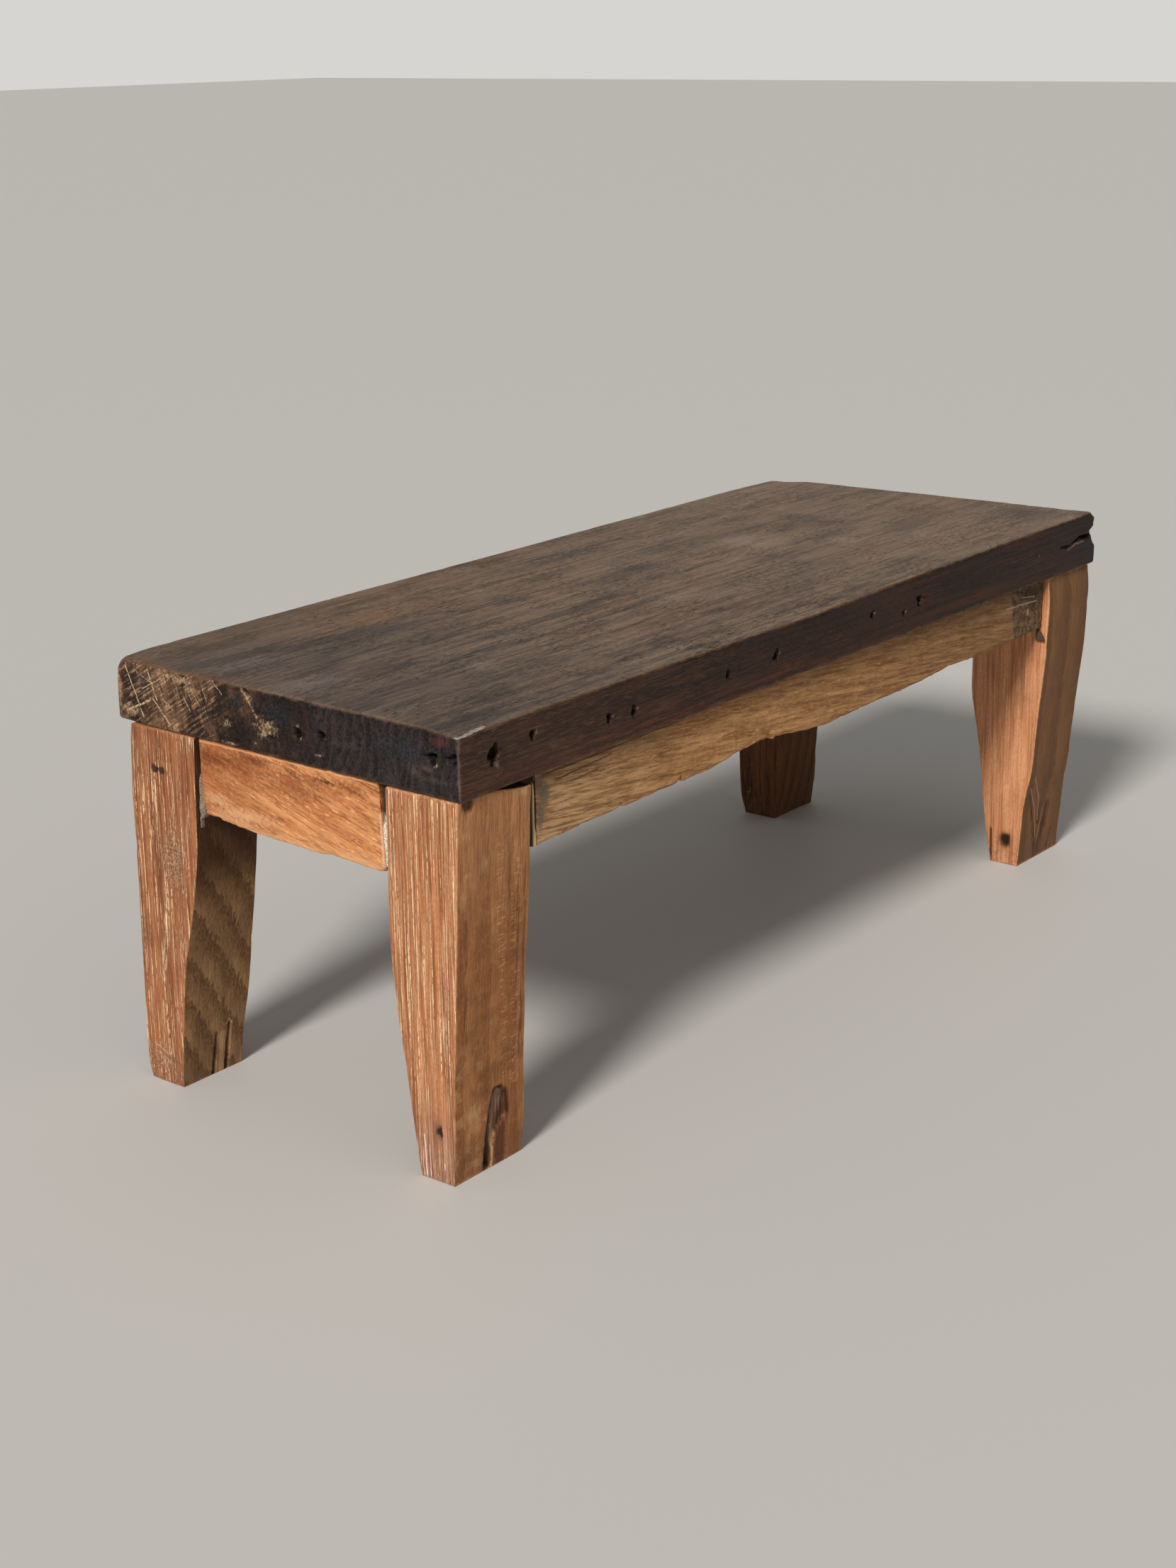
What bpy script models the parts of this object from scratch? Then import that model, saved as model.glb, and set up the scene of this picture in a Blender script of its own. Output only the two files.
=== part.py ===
"""A teak bench: one thick old slab on four tapering legs, tied together by four rails (aprons).

Metres, +Z up, +X along the bench. The floor is z = 0, with the origin under the middle of the
slab. The front long side faces -Y and the left end faces -X. Every table named shares holds
fractions, chosen by hand, of the named sizes that its comment gives.
"""
import math

import bmesh
import bpy
import numpy as np
from mathutils import Vector

for old in list(bpy.data.objects):
    bpy.data.objects.remove(old, do_unlink=True)

# Gaps: between pieces that touch, and how far a cutter runs past what it cuts
FIT = 0.0003
CUT_OVER = 0.004

# Slab. Its two ends aren't square: their back corners stand in from the front ones
SEAT_HEIGHT = 0.4205
SLAB_LENGTH = 1.1352
SLAB_WIDTH = 0.436
SLAB_THICK = 0.0605
LEFT_END_SET = 0.0072
RIGHT_END_SET = 0.029
TOP_ARRIS = 0.006
LOW_ARRIS = 0.003
END_ARRIS = 0.004
EDGE_BAND = 0.040
TOP_WAVE = 0.002
CORNER_FRONT_LEFT = 0.003
CORNER_BACK_LEFT = 0.005
CORNER_FRONT_RIGHT = 0.003
CORNER_BACK_RIGHT = 0.026

# Nail holes, splits and the notch in the slab's edges
HOLE_DIAMETER = 0.0055
HOLE_DEPTH = 0.009
HOLE_SIDES = 8
LONG_HOLE_HEIGHT = 0.017
LONG_HOLE_WIDTH = 0.008
SPLIT_WIDTH = 0.0022
SPLIT_DEPTH = 0.008
NOTCH_DEPTH = 0.016

# Legs: typical width along the bench and depth across it, at the top
LEG_WIDTH = 0.092
LEG_DEPTH = 0.086
LEG_ARRIS = 0.002
LEG_TOP_GAP = 0.0026
SCOOP_DEPTH = 0.005
FOOT_SPLIT_WIDTH = 0.0024

# Aprons
APRON_THICK = 0.032
APRON_DEPTH = 0.066
END_APRON_DEPTH = 0.080
APRON_WAVE = 0.010
APRON_ARRIS = 0.0035
FRONT_APRON_SET = 0.009
BACK_APRON_SET = 0.0292
LEFT_APRON_SET = 0.007
RIGHT_APRON_SET = 0.0038

# Tenons, and the packing where an apron's shoulder doesn't reach its leg
TENON_THICK = 0.012
TENON_HEIGHT = 0.045
TENON_DROP = 0.010
TENON_IN_LEG = 0.045
END_TENON_IN_LEG = 0.060
PACKING_LEFT_FRONT = 0.0142
PACKING_LEFT_BACK = 0.0050
PACKING_LEFT_BACK_DEPTH = 0.088
SHIM_WIDTH = 0.0148
SHIM_TAPER = 0.0040
PLUG_WIDTH = 0.013
PLUG_HEIGHT = 0.015
PLUG_THICK = 0.006

# Wooden pegs that lock the tenons
PEG_DIAMETER = 0.008
PEG_SET = 0.022
PEG_PROUD = 0.0008
PEG_SHORT = 0.010
LONG_PEG_DROP = 0.022
END_PEG_DROP = 0.044
PEG_SIDES = 12

# Cleats and their slotted, countersunk screws
CLEAT_SIDE = 0.025
CLEAT_END_GAP = 0.010
SCREW_LENGTH = 0.040
SCREW_SHANK = 0.004
SCREW_HEAD = 0.008
SCREW_RIM = 0.0005
SCREW_TIP = 0.0008
SCREW_TIP_LENGTH = 0.006
SLOT_WIDTH = 0.0011
SLOT_DEPTH = 0.0010
SCREW_SIDES = 10

# The nail in the back left leg
NAIL_LENGTH = 0.030
NAIL_SHANK = 0.0032
NAIL_HEAD = 0.0055
NAIL_HEAD_THICK = 0.0012
NAIL_TIP = 0.0008
NAIL_TIP_LENGTH = 0.005
NAIL_SIDES = 10

SLAB_UNDERSIDE = SEAT_HEIGHT - SLAB_THICK
RAIL_TOP = SLAB_UNDERSIDE - FIT
LEG_HEIGHT = RAIL_TOP

# (place along the slab, rise of the front arris), as shares of SLAB_LENGTH and TOP_WAVE
TOP_WAVE_shares = (
    (-0.43, 0.0), (-0.20, -0.5), (-0.03, -1.0), (0.14, -0.2), (0.31, 0.5), (0.38, 0.6), (0.45, 1.0),
)
# Distances in from an end, as shares of the largest corner wear
END_STEP_shares = (0.0, 0.06, 0.2, 0.5, 1.0)
# Holes in the front edge: (place along, height), as shares of SLAB_LENGTH and SLAB_THICK
FRONT_HOLE_shares = (
    (-0.415, 0.63), (-0.321, 0.46), (-0.289, 0.43), (-0.160, 0.45), (-0.088, 0.48),
    (0.066, 0.57), (0.121, 0.40), (0.149, 0.52),
)
LONG_HOLE_shares = (-0.460, 0.53)
# Holes in the left end: (place across, height), as shares of SLAB_WIDTH and SLAB_THICK
END_HOLE_shares = ((-0.062, 0.48), (-0.129, 0.52), (-0.430, 0.57))
# Centre lines of the splits, in the same shares, and the notch that the front one starts from
FRONT_SPLIT_shares = ((0.487, 0.68), (0.482, 0.57), (0.464, 0.60), (0.445, 0.49), (0.424, 0.53))
END_SPLIT_shares = (
    (0.088, 0.95), (0.074, 0.84), (0.059, 0.67), (0.048, 0.54), (0.037, 0.39), (0.012, 0.27),
)
NOTCH_shares = ((0.4878, 0.68), (0.510, 0.84), (0.510, 0.40))

# Legs: +1 or -1 for the end and the long side that each stands at
LEG_SIDES = {
    "leg_front_left": (-1, -1),
    "leg_front_right": (1, -1),
    "leg_back_left": (-1, 1),
    "leg_back_right": (1, 1),
}
# Outlines of each leg's four faces: (height, distance in from the slab's front corner or long
# edge), as shares of LEG_HEIGHT and of LEG_DEPTH for outer and inner, LEG_WIDTH for end and mid
LEG_shares = {
    "leg_front_left": {
        "outer": ((0, 0.256), (0.1, 0.217), (0.26, 0.206), (0.41, 0.158), (0.8, 0.071), (1, 0.033)),
        "inner": (
            (0, 0.715), (0.1, 0.770), (0.27, 0.857), (0.39, 0.929), (0.5, 0.990), (0.57, 1.015),
            (0.8, 0.965), (1, 0.955),
        ),
        "end": ((0, 0.012), (0.03, 0.0), (1, 0.0)),
        "mid": ((0, 1.030), (0.21, 1.045), (0.48, 1.018), (0.78, 1.020), (1, 1.012)),
    },
    "leg_front_right": {
        "outer": (
            (0, 0.376), (0.22, 0.300), (0.33, 0.193), (0.56, 0.117), (0.73, 0.038), (0.93, 0.005),
            (1, 0.040),
        ),
        "inner": ((0, 0.803), (0.07, 0.869), (0.22, 0.958), (0.38, 1.029), (0.58, 1.180), (1, 1.180)),
        "end": (
            (0, 0.0), (0.2, 0.005), (0.3, 0.080), (0.42, 0.095), (0.55, 0.078), (0.92, 0.055),
            (1, 0.100),
        ),
        "mid": ((0, 1.088), (0.7, 1.135), (0.8, 1.155), (1, 1.155)),
    },
    "leg_back_left": {
        "outer": (
            (0, 0.300), (0.06, 0.185), (0.55, 0.205), (0.72, 0.215), (0.81, 0.194), (0.93, 0.236),
            (1, 0.250),
        ),
        "inner": (
            (0, 0.753), (0.13, 0.802), (0.35, 0.910), (0.51, 1.094), (0.63, 1.198), (0.70, 1.262),
            (1, 1.262),
        ),
        "end": ((0, 0.012), (0.03, 0.0), (1, 0.045)),
        "mid": (
            (0, 0.864), (0.12, 0.897), (0.2, 0.948), (0.33, 0.979), (0.5, 0.921), (0.66, 0.888),
            (0.78, 0.900), (1, 0.900),
        ),
    },
    "leg_back_right": {
        "outer": ((0, 0.233), (0.06, 0.190), (1, 0.126)),
        "inner": ((0, 0.767), (0.1, 0.860), (0.3, 0.980), (0.5, 1.120), (0.6, 1.191), (1, 1.191)),
        "end": (
            (0, 0.380), (0.08, 0.408), (0.15, 0.452), (0.3, 0.520), (0.5, 0.460), (0.75, 0.340),
            (1, 0.280),
        ),
        "mid": ((0, 1.300), (0.06, 1.360), (0.23, 1.400), (0.6, 1.320), (0.75, 1.251), (1, 1.251)),
    },
}
LEG_STATION_shares = (0, 0.03, 0.1, 0.2, 0.3, 0.4, 0.5, 0.58, 0.7, 0.8, 0.92, 1)
# The split scoop in the front left foot: (place in from the leg's end, height), as shares of
# LEG_WIDTH and LEG_HEIGHT
SCOOP_shares = (
    (0.470, -0.02), (0.446, 0.078), (0.478, 0.127), (0.560, 0.200), (0.680, 0.215),
    (0.749, 0.210), (0.782, 0.174), (0.723, 0.102), (0.620, 0.050), (0.590, -0.02),
)
# Splits in the back left foot's inner face, in the same shares, as centre lines
FOOT_SPLIT_shares = (
    ((0.440, -0.02), (0.474, 0.06), (0.490, 0.117)),
    ((0.618, -0.02), (0.649, 0.08), (0.663, 0.137)),
)

# Wavy lower edges: (place along the apron, rise), as shares of its length and of APRON_WAVE
APRON_WAVE_shares = {
    "apron_front": (
        (0, -0.27), (0.08, -0.04), (0.15, 0.05), (0.24, 0.10), (0.28, 0.02), (0.34, 0.81), (0.36, 0.79),
        (0.385, 1.00), (0.42, 0.53), (0.455, 0.20), (0.49, -0.18), (0.55, -0.06), (0.63, 0.05),
        (0.72, 0.18), (0.77, 0.63), (0.82, 0.49), (0.90, 0.43), (1, 0.65),
    ),
    "apron_back": (
        (0, 0.4), (0.09, 0.1), (0.21, 0.3), (0.30, 0.9), (0.36, 0.7), (0.47, 0.1), (0.58, 0.0),
        (0.70, 0.25), (0.79, 0.1), (0.88, 0.5), (1, 0.2),
    ),
    "apron_left": ((0, -0.32), (0.24, -0.12), (0.5, -0.05), (0.68, 0.05), (0.84, 0.36), (1, 0.77)),
    "apron_right": ((0, 0.3), (0.2, 0.0), (0.45, -0.2), (0.7, 0.1), (0.88, 0.45), (1, 0.3)),
}
# The putty plug's rings: (size, how far it stands out), as shares of its width and thickness
PLUG_shares = ((1, 0), (0.9, 0.5), (0.5, 0.95))
# Screws in a cleat, as shares of its length: sideways into the apron, and up into the slab
LONG_SIDE_SCREW_shares = (0.15, 0.45, 0.85)
LONG_UP_SCREW_shares = (0.08, 0.53, 0.92)
END_SIDE_SCREW_shares = (0.2, 0.8)
END_UP_SCREW_shares = (0.5,)


# Building blocks

def make_object(name, shape, material=None):
    """Puts a bmesh into an object. One without a material is only a helper for a Boolean."""
    bmesh.ops.recalc_face_normals(shape, faces=shape.faces)
    mesh = bpy.data.meshes.new(name)
    shape.to_mesh(mesh)
    shape.free()
    made = bpy.data.objects.new(name, mesh)
    bpy.context.scene.collection.objects.link(made)
    if material is None:
        made.hide_render = True
        made.display_type = "WIRE"
    else:
        mesh.materials.append(material)
    return made


def wood(name, colour, roughness=0.6, metallic=0.0):
    """A Principled material with a plain colour."""
    material = bpy.data.materials.new(name)
    material.use_nodes = True
    surface = material.node_tree.nodes["Principled BSDF"]
    surface.inputs["Base Color"].default_value = (*colour, 1.0)
    surface.inputs["Roughness"].default_value = roughness
    surface.inputs["Metallic"].default_value = metallic
    return material


def boolean(target, helper, operation="DIFFERENCE"):
    """Cuts a helper out of a piece, or joins it on, with a live modifier."""
    step = target.modifiers.new(helper.name, "BOOLEAN")
    step.operation = operation
    step.solver = "EXACT"
    step.object = helper


def add_loft(shape, rings):
    """Walls between rings of equally many points, with both ends closed."""
    layers = [[shape.verts.new(point) for point in ring] for ring in rings]
    for low, high in zip(layers, layers[1:]):
        for corners in zip(low, low[1:] + low[:1], high[1:] + high[:1], high):
            shape.faces.new(corners)
    shape.faces.new(layers[0])
    shape.faces.new(layers[-1])


def add_box(shape, low, high):
    """A box between two corners, given in any order."""
    base = [(low[0], low[1]), (high[0], low[1]), (high[0], high[1]), (low[0], high[1])]
    add_loft(shape, [[(x, y, z) for x, y in base] for z in (low[2], high[2])])


def add_turned(shape, start, axis, stations, sides):
    """A turned solid: rings of a radius at each distance from the start along the axis."""
    along = Vector(axis)
    side = along.orthogonal().normalized()
    other = along.cross(side)
    turns = [math.tau * step / sides for step in range(sides)]
    circle = [side * math.cos(turn) + other * math.sin(turn) for turn in turns]
    rings = [[Vector(start) + along * distance + spoke * radius for spoke in circle]
             for distance, radius in stations]
    add_loft(shape, rings)


def ribbon(line, width):
    """A thin outline round a centre line of 2-D points, tapering to a tip at its far end."""
    points = np.array(line, dtype=float)
    steps = np.gradient(points, axis=0)
    sideways = np.stack([-steps[:, 1], steps[:, 0]], axis=1) / np.linalg.norm(steps, axis=1)[:, None]
    halves = np.linspace(width, width / 4, len(points))[:, None] / 2
    return [*(points + sideways * halves), *(points - sideways * halves)[::-1]]


def leg_face(leg, face, height):
    """The x (end, mid) or y (outer, inner) of a leg's face at a height."""
    heights, set_ins = zip(*LEG_shares[leg][face])
    share = float(np.interp(height / LEG_HEIGHT, heights, set_ins))
    side_x, side_y = LEG_SIDES[leg]
    if face in ("end", "mid"):
        return side_x * (SLAB_LENGTH / 2 - share * LEG_WIDTH)
    return side_y * (SLAB_WIDTH / 2 - share * LEG_DEPTH)


def nearest_face(leg, face, low):
    """The furthest that a leg's inner side stands into the bench between a height and its top."""
    heights = np.linspace(low, LEG_HEIGHT, len(LEG_STATION_shares))
    return min([leg_face(leg, face, height) for height in heights], key=abs)


# Slab

def add_nail_hole(shape, place, outwards):
    """The cutter of a tapering nail hole, from its bottom out past the slab's face."""
    stations = ((0, HOLE_DIAMETER / 4), (HOLE_DEPTH + CUT_OVER, HOLE_DIAMETER / 2))
    add_turned(shape, place, outwards, stations, HOLE_SIDES)


def round_in(distance, radius):
    """How far a worn, rounded edge stands in at a distance from the end: a quarter circle."""
    missing = max(1 - distance / radius, 0.0)
    return radius * (1 - math.sqrt(1 - missing * missing))


def slab_ring(share, left, right):
    """The slab's cross-section at a share of its length, left and right being the end distances."""
    front_in = round_in(left, CORNER_FRONT_LEFT) + round_in(right, CORNER_FRONT_RIGHT)
    back_in = round_in(left, CORNER_BACK_LEFT) + round_in(right, CORNER_BACK_RIGHT)
    top = SEAT_HEIGHT - round_in(left, END_ARRIS) - round_in(right, END_ARRIS)
    low = SLAB_UNDERSIDE + round_in(left, LOW_ARRIS) + round_in(right, LOW_ARRIS)
    places, rises = zip(*TOP_WAVE_shares)
    edge = top + TOP_WAVE * float(np.interp(share, places, rises))
    back_edge = top - back_in / 2
    front = -SLAB_WIDTH / 2 + front_in
    back = SLAB_WIDTH / 2 - back_in
    outline = [
        (front + LOW_ARRIS, low), (front, low + LOW_ARRIS),
        (front, edge - TOP_ARRIS), (front + TOP_ARRIS / 4, edge - TOP_ARRIS / 3), (front + TOP_ARRIS, edge),
        (front + EDGE_BAND, top), (back - EDGE_BAND, top),
        (back - TOP_ARRIS, back_edge), (back - TOP_ARRIS / 4, back_edge - TOP_ARRIS / 4),
        (back, back_edge - TOP_ARRIS), (back, low + LOW_ARRIS), (back - LOW_ARRIS, low),
    ]
    ring = []
    for y, z in outline:
        across = y / SLAB_WIDTH + 1 / 2
        start = -SLAB_LENGTH / 2 + LEFT_END_SET * across
        end = SLAB_LENGTH / 2 - RIGHT_END_SET * across
        ring.append((start + (share + 1 / 2) * (end - start), y, z))
    return ring


def make_slab():
    """The worn slab with its nail holes, splits and notch."""
    most = max(CORNER_FRONT_LEFT, CORNER_BACK_LEFT, CORNER_FRONT_RIGHT, CORNER_BACK_RIGHT)
    steps = [step * most for step in END_STEP_shares]
    stations = [(step / SLAB_LENGTH - 1 / 2, step, SLAB_LENGTH) for step in steps]
    stations += [(share, SLAB_LENGTH, SLAB_LENGTH) for share, rise in TOP_WAVE_shares]
    stations += [(1 / 2 - step / SLAB_LENGTH, SLAB_LENGTH, step) for step in reversed(steps)]
    shape = bmesh.new()
    add_loft(shape, [slab_ring(*station) for station in stations])
    slab = make_object("seat_slab", shape, wood("slab_wood", (0.060, 0.040, 0.030), 0.45))

    front = -SLAB_WIDTH / 2
    holes = bmesh.new()
    for along, up in FRONT_HOLE_shares:
        place = (along * SLAB_LENGTH, front + HOLE_DEPTH, SLAB_UNDERSIDE + up * SLAB_THICK)
        add_nail_hole(holes, place, (0, -1, 0))
    for across, up in END_HOLE_shares:
        left = -SLAB_LENGTH / 2 + LEFT_END_SET * (across + 1 / 2)
        place = (left + HOLE_DEPTH, across * SLAB_WIDTH, SLAB_UNDERSIDE + up * SLAB_THICK)
        add_nail_hole(holes, place, (-1, 0, 0))
    boolean(slab, make_object("slab_nail_holes", holes))

    def on_front(points):
        return [(along * SLAB_LENGTH, SLAB_UNDERSIDE + up * SLAB_THICK) for along, up in points]

    def prism_in_front(outline, depth):
        shape = bmesh.new()
        add_loft(shape, [[(x, y, z) for x, z in outline] for y in (front - CUT_OVER, front + depth)])
        return shape

    (x, z), = on_front([LONG_HOLE_shares])
    wide, high = LONG_HOLE_WIDTH / 2, LONG_HOLE_HEIGHT / 2
    outline = [(x - wide, z), (x - wide / 2, z - high), (x + wide / 2, z - high), (x + wide, z),
               (x + wide / 2, z + high), (x - wide / 2, z + high)]
    boolean(slab, make_object("slab_long_hole", prism_in_front(outline, HOLE_DEPTH)))
    boolean(slab, make_object("slab_notch", prism_in_front(on_front(NOTCH_shares), NOTCH_DEPTH)))
    split = ribbon(on_front(FRONT_SPLIT_shares), SPLIT_WIDTH)
    boolean(slab, make_object("slab_front_split", prism_in_front(split, SPLIT_DEPTH)))

    line = [(across * SLAB_WIDTH, SLAB_UNDERSIDE + up * SLAB_THICK) for across, up in END_SPLIT_shares]
    start = -SLAB_LENGTH / 2
    shape = bmesh.new()
    add_loft(shape, [[(x, y, z) for y, z in ribbon(line, SPLIT_WIDTH)]
                     for x in (start - CUT_OVER, start + LEFT_END_SET / 2 + SPLIT_DEPTH)])
    boolean(slab, make_object("slab_end_split", shape))
    return slab


# Legs

def leg_ring(leg, share):
    """A leg's cross-section at a share of its height: a rectangle with its corners cut off."""
    height = share * LEG_HEIGHT
    end, mid, outer, inner = [leg_face(leg, face, height) for face in ("end", "mid", "outer", "inner")]
    side_x, side_y = LEG_SIDES[leg]
    cut_x, cut_y = side_x * LEG_ARRIS, side_y * LEG_ARRIS
    corners = [
        (end, outer - cut_y), (end - cut_x, outer), (mid + cut_x, outer), (mid, outer - cut_y),
        (mid, inner + cut_y), (mid + cut_x, inner), (end - cut_x, inner), (end, inner + cut_y),
    ]
    return [(x, y, height) for x, y in corners]


def make_leg(leg, material):
    """A leg, wider across the bench at the top than at the foot."""
    rings = [leg_ring(leg, share) for share in LEG_STATION_shares]
    if leg == "leg_front_left":
        low, high = rings[-1][2][0], rings[-1][0][0]
        rings[-1] = [(x, y, z - LEG_TOP_GAP * (x - high) / (low - high)) for x, y, z in rings[-1]]
    shape = bmesh.new()
    add_loft(shape, rings)
    return make_object(leg, shape, material)


def scoop_front_left_foot(leg):
    """The shallow split hollow in the outer face of the front left foot."""
    rings = []
    for depth in (-CUT_OVER, SCOOP_DEPTH):
        ring = []
        for along, up in SCOOP_shares:
            height = up * LEG_HEIGHT
            ring.append((-SLAB_LENGTH / 2 + along * LEG_WIDTH,
                         leg_face("leg_front_left", "outer", height) + depth, height))
        rings.append(ring)
    shape = bmesh.new()
    add_loft(shape, rings)
    boolean(leg, make_object("foot_scoop", shape))


def split_back_left_foot(leg):
    """Two short splits that rise from the floor in the back left foot."""
    shape = bmesh.new()
    for line in FOOT_SPLIT_shares:
        points = [(-SLAB_LENGTH / 2 + along * LEG_WIDTH, up * LEG_HEIGHT) for along, up in line]
        face = leg_face("leg_back_left", "inner", 0)
        outline = ribbon(points, FOOT_SPLIT_WIDTH)
        deep, out = face + SPLIT_DEPTH, face - LEG_DEPTH / 4
        add_loft(shape, [[(x, y, z) for x, z in outline] for y in (out, deep)])
    boolean(leg, make_object("foot_splits", shape))


# Aprons, their tenons and the packing at their shoulders

class Apron:
    """A rail that runs along X or Y between two legs, from the leg at its lower coordinate."""

    def __init__(self, name, runs_along_x, legs, outer, inward, depth, in_leg, packing, taper=0.0):
        self.name = name
        self.runs_along_x = runs_along_x
        self.outer = outer
        self.inner = outer + inward * APRON_THICK
        self.inward = inward
        self.low = RAIL_TOP - depth
        self.legs = legs
        face = "mid" if runs_along_x else "inner"
        self.faces = [nearest_face(leg, face, self.low - APRON_WAVE) for leg in self.legs]
        self.packing = packing
        self.taper = taper
        gaps = [width + FIT * (2 if width else 1) for width in packing]
        self.start = self.faces[0] + gaps[0]
        self.end = self.faces[1] - gaps[1]
        self.tips = (self.faces[0] - in_leg, self.faces[1] + in_leg)
        self.middle = (self.outer + self.inner) / 2
        self.tenon_top = RAIL_TOP - TENON_DROP
        self.tenon_low = self.tenon_top - TENON_HEIGHT

    def place(self, along, across, z):
        """World coordinates of a point given along and across the apron."""
        return (along, across, z) if self.runs_along_x else (across, along, z)

    def lower_edge(self, share):
        """The height of the wavy lower edge."""
        places, rises = zip(*APRON_WAVE_shares[self.name])
        return self.low + APRON_WAVE * float(np.interp(share, places, rises))

    def ring(self, share):
        """The cross-section at a share of the length; the start shoulder may be out of square."""
        edge = self.inward * APRON_ARRIS
        low = self.lower_edge(share)
        outline = [
            (self.outer, RAIL_TOP), (self.outer, low + APRON_ARRIS), (self.outer + edge, low),
            (self.inner - edge, low), (self.inner, low + APRON_ARRIS), (self.inner, RAIL_TOP),
        ]
        points = []
        for across, z in outline:
            start = self.start - self.taper * (RAIL_TOP - z) / (RAIL_TOP - self.low)
            points.append(self.place(start + share * (self.end - start), across, z))
        return points

    def tenon(self, shape, which, grow=0.0):
        """One tenon as a box, rooted in the rail, or grown by a gap as the cutter of its mortise."""
        root = (self.start, self.end)[which]
        outwards = (-1, 1)[which]
        half = TENON_THICK / 2 + grow
        low = self.place(root - outwards * APRON_THICK / 2, self.middle - half, self.tenon_low - grow)
        high = self.place(self.tips[which] + outwards * grow, self.middle + half, self.tenon_top + grow)
        add_box(shape, low, high)

    def make(self, material):
        """The rail with a stub tenon at each end."""
        places = [place for place, rise in APRON_WAVE_shares[self.name]]
        shape = bmesh.new()
        add_loft(shape, [self.ring(share) for share in places])
        rail = make_object(self.name, shape, material)
        tenons = bmesh.new()
        for which in (0, 1):
            self.tenon(tenons, which)
        boolean(rail, make_object(self.name + "_tenons", tenons), "UNION")
        return rail

    def mortise(self, which):
        """The cutter for the mortise of one tenon."""
        shape = bmesh.new()
        self.tenon(shape, which, FIT)
        return make_object(f"{self.name}_mortise_{which}", shape)

    def make_packing(self, name, which, depth, material):
        """A collar round the tenon, between the apron's shoulder and the leg."""
        outwards = (-1, 1)[which]
        shoulder = (self.start, self.end)[which] + outwards * FIT
        leg = self.faces[which] - outwards * FIT
        low = RAIL_TOP - depth
        taper = self.taper if which == 0 else 0.0
        lean = taper * depth / (RAIL_TOP - self.low)
        ring = lambda across: [
            self.place(leg, across, RAIL_TOP), self.place(shoulder, across, RAIL_TOP),
            self.place(shoulder - lean, across, low), self.place(leg, across, low),
        ]
        shape = bmesh.new()
        add_loft(shape, [ring(self.outer), ring(self.inner)])
        collar = make_object(name, shape, material)
        boolean(collar, bpy.data.objects[f"{self.name}_mortise_{which}"])


# Pegs, nail and screws

def make_peg(name, start, axis, length, material):
    """A round wooden peg, and the slightly larger cutter for its hole."""
    radius = PEG_DIAMETER / 2
    shape = bmesh.new()
    add_turned(shape, start, axis, ((0, radius), (length, radius)), PEG_SIDES)
    make_object(name, shape, material)
    shape = bmesh.new()
    add_turned(shape, start, axis, ((-CUT_OVER, radius + FIT), (length + FIT, radius + FIT)), PEG_SIDES)
    return make_object(name + "_hole", shape)


def peg_for_long_tenon(leg, material):
    """Driven from the leg's inner face, across the bench, through the long apron's tenon."""
    side_x, side_y = LEG_SIDES[leg]
    height = SLAB_UNDERSIDE - LONG_PEG_DROP
    inner, outer = leg_face(leg, "inner", height), leg_face(leg, "outer", height)
    x = leg_face(leg, "mid", height) + side_x * PEG_SET
    start = (x, inner - side_y * PEG_PROUD, height)
    length = abs(outer - inner) - PEG_SHORT + PEG_PROUD
    return make_peg(leg.replace("leg", "peg") + "_long", start, (0, side_y, 0), length, material)


def peg_for_end_tenon(leg, material):
    """Driven from the leg's inner face, along the bench, through the end apron's tenon."""
    side_x, side_y = LEG_SIDES[leg]
    height = SLAB_UNDERSIDE - END_PEG_DROP
    mid, end = leg_face(leg, "mid", height), leg_face(leg, "end", height)
    y = leg_face(leg, "inner", height) + side_y * PEG_SET
    start = (mid - side_x * PEG_PROUD, y, height)
    length = abs(end - mid) - PEG_SHORT + PEG_PROUD
    return make_peg(leg.replace("leg", "peg") + "_end", start, (side_x, 0, 0), length, material)


def make_nail(leg, material):
    """The nail through the back left leg into the end apron's tenon, and its hole's cutter."""
    height = SLAB_UNDERSIDE - END_PEG_DROP + PEG_DIAMETER / 2
    y = leg_face("leg_back_left", "inner", height) + END_TENON_IN_LEG - PEG_DIAMETER / 2
    x = leg_face("leg_back_left", "end", height)
    shank, head = NAIL_SHANK / 2, NAIL_HEAD / 2
    stations = ((0, head), (NAIL_HEAD_THICK, head), (NAIL_HEAD_THICK, shank),
                (NAIL_LENGTH - NAIL_TIP_LENGTH, shank), (NAIL_LENGTH, NAIL_TIP / 2))
    shape = bmesh.new()
    add_turned(shape, (x, y, height), (1, 0, 0), stations, NAIL_SIDES)
    make_object("nail_back_left", shape, material)
    stations = ((-CUT_OVER, head + FIT), (NAIL_HEAD_THICK + FIT, head + FIT),
                (NAIL_HEAD_THICK + FIT, shank + FIT), (NAIL_LENGTH + FIT, shank + FIT))
    shape = bmesh.new()
    add_turned(shape, (x, y, height), (1, 0, 0), stations, NAIL_SIDES)
    return make_object("nail_hole", shape)


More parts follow.
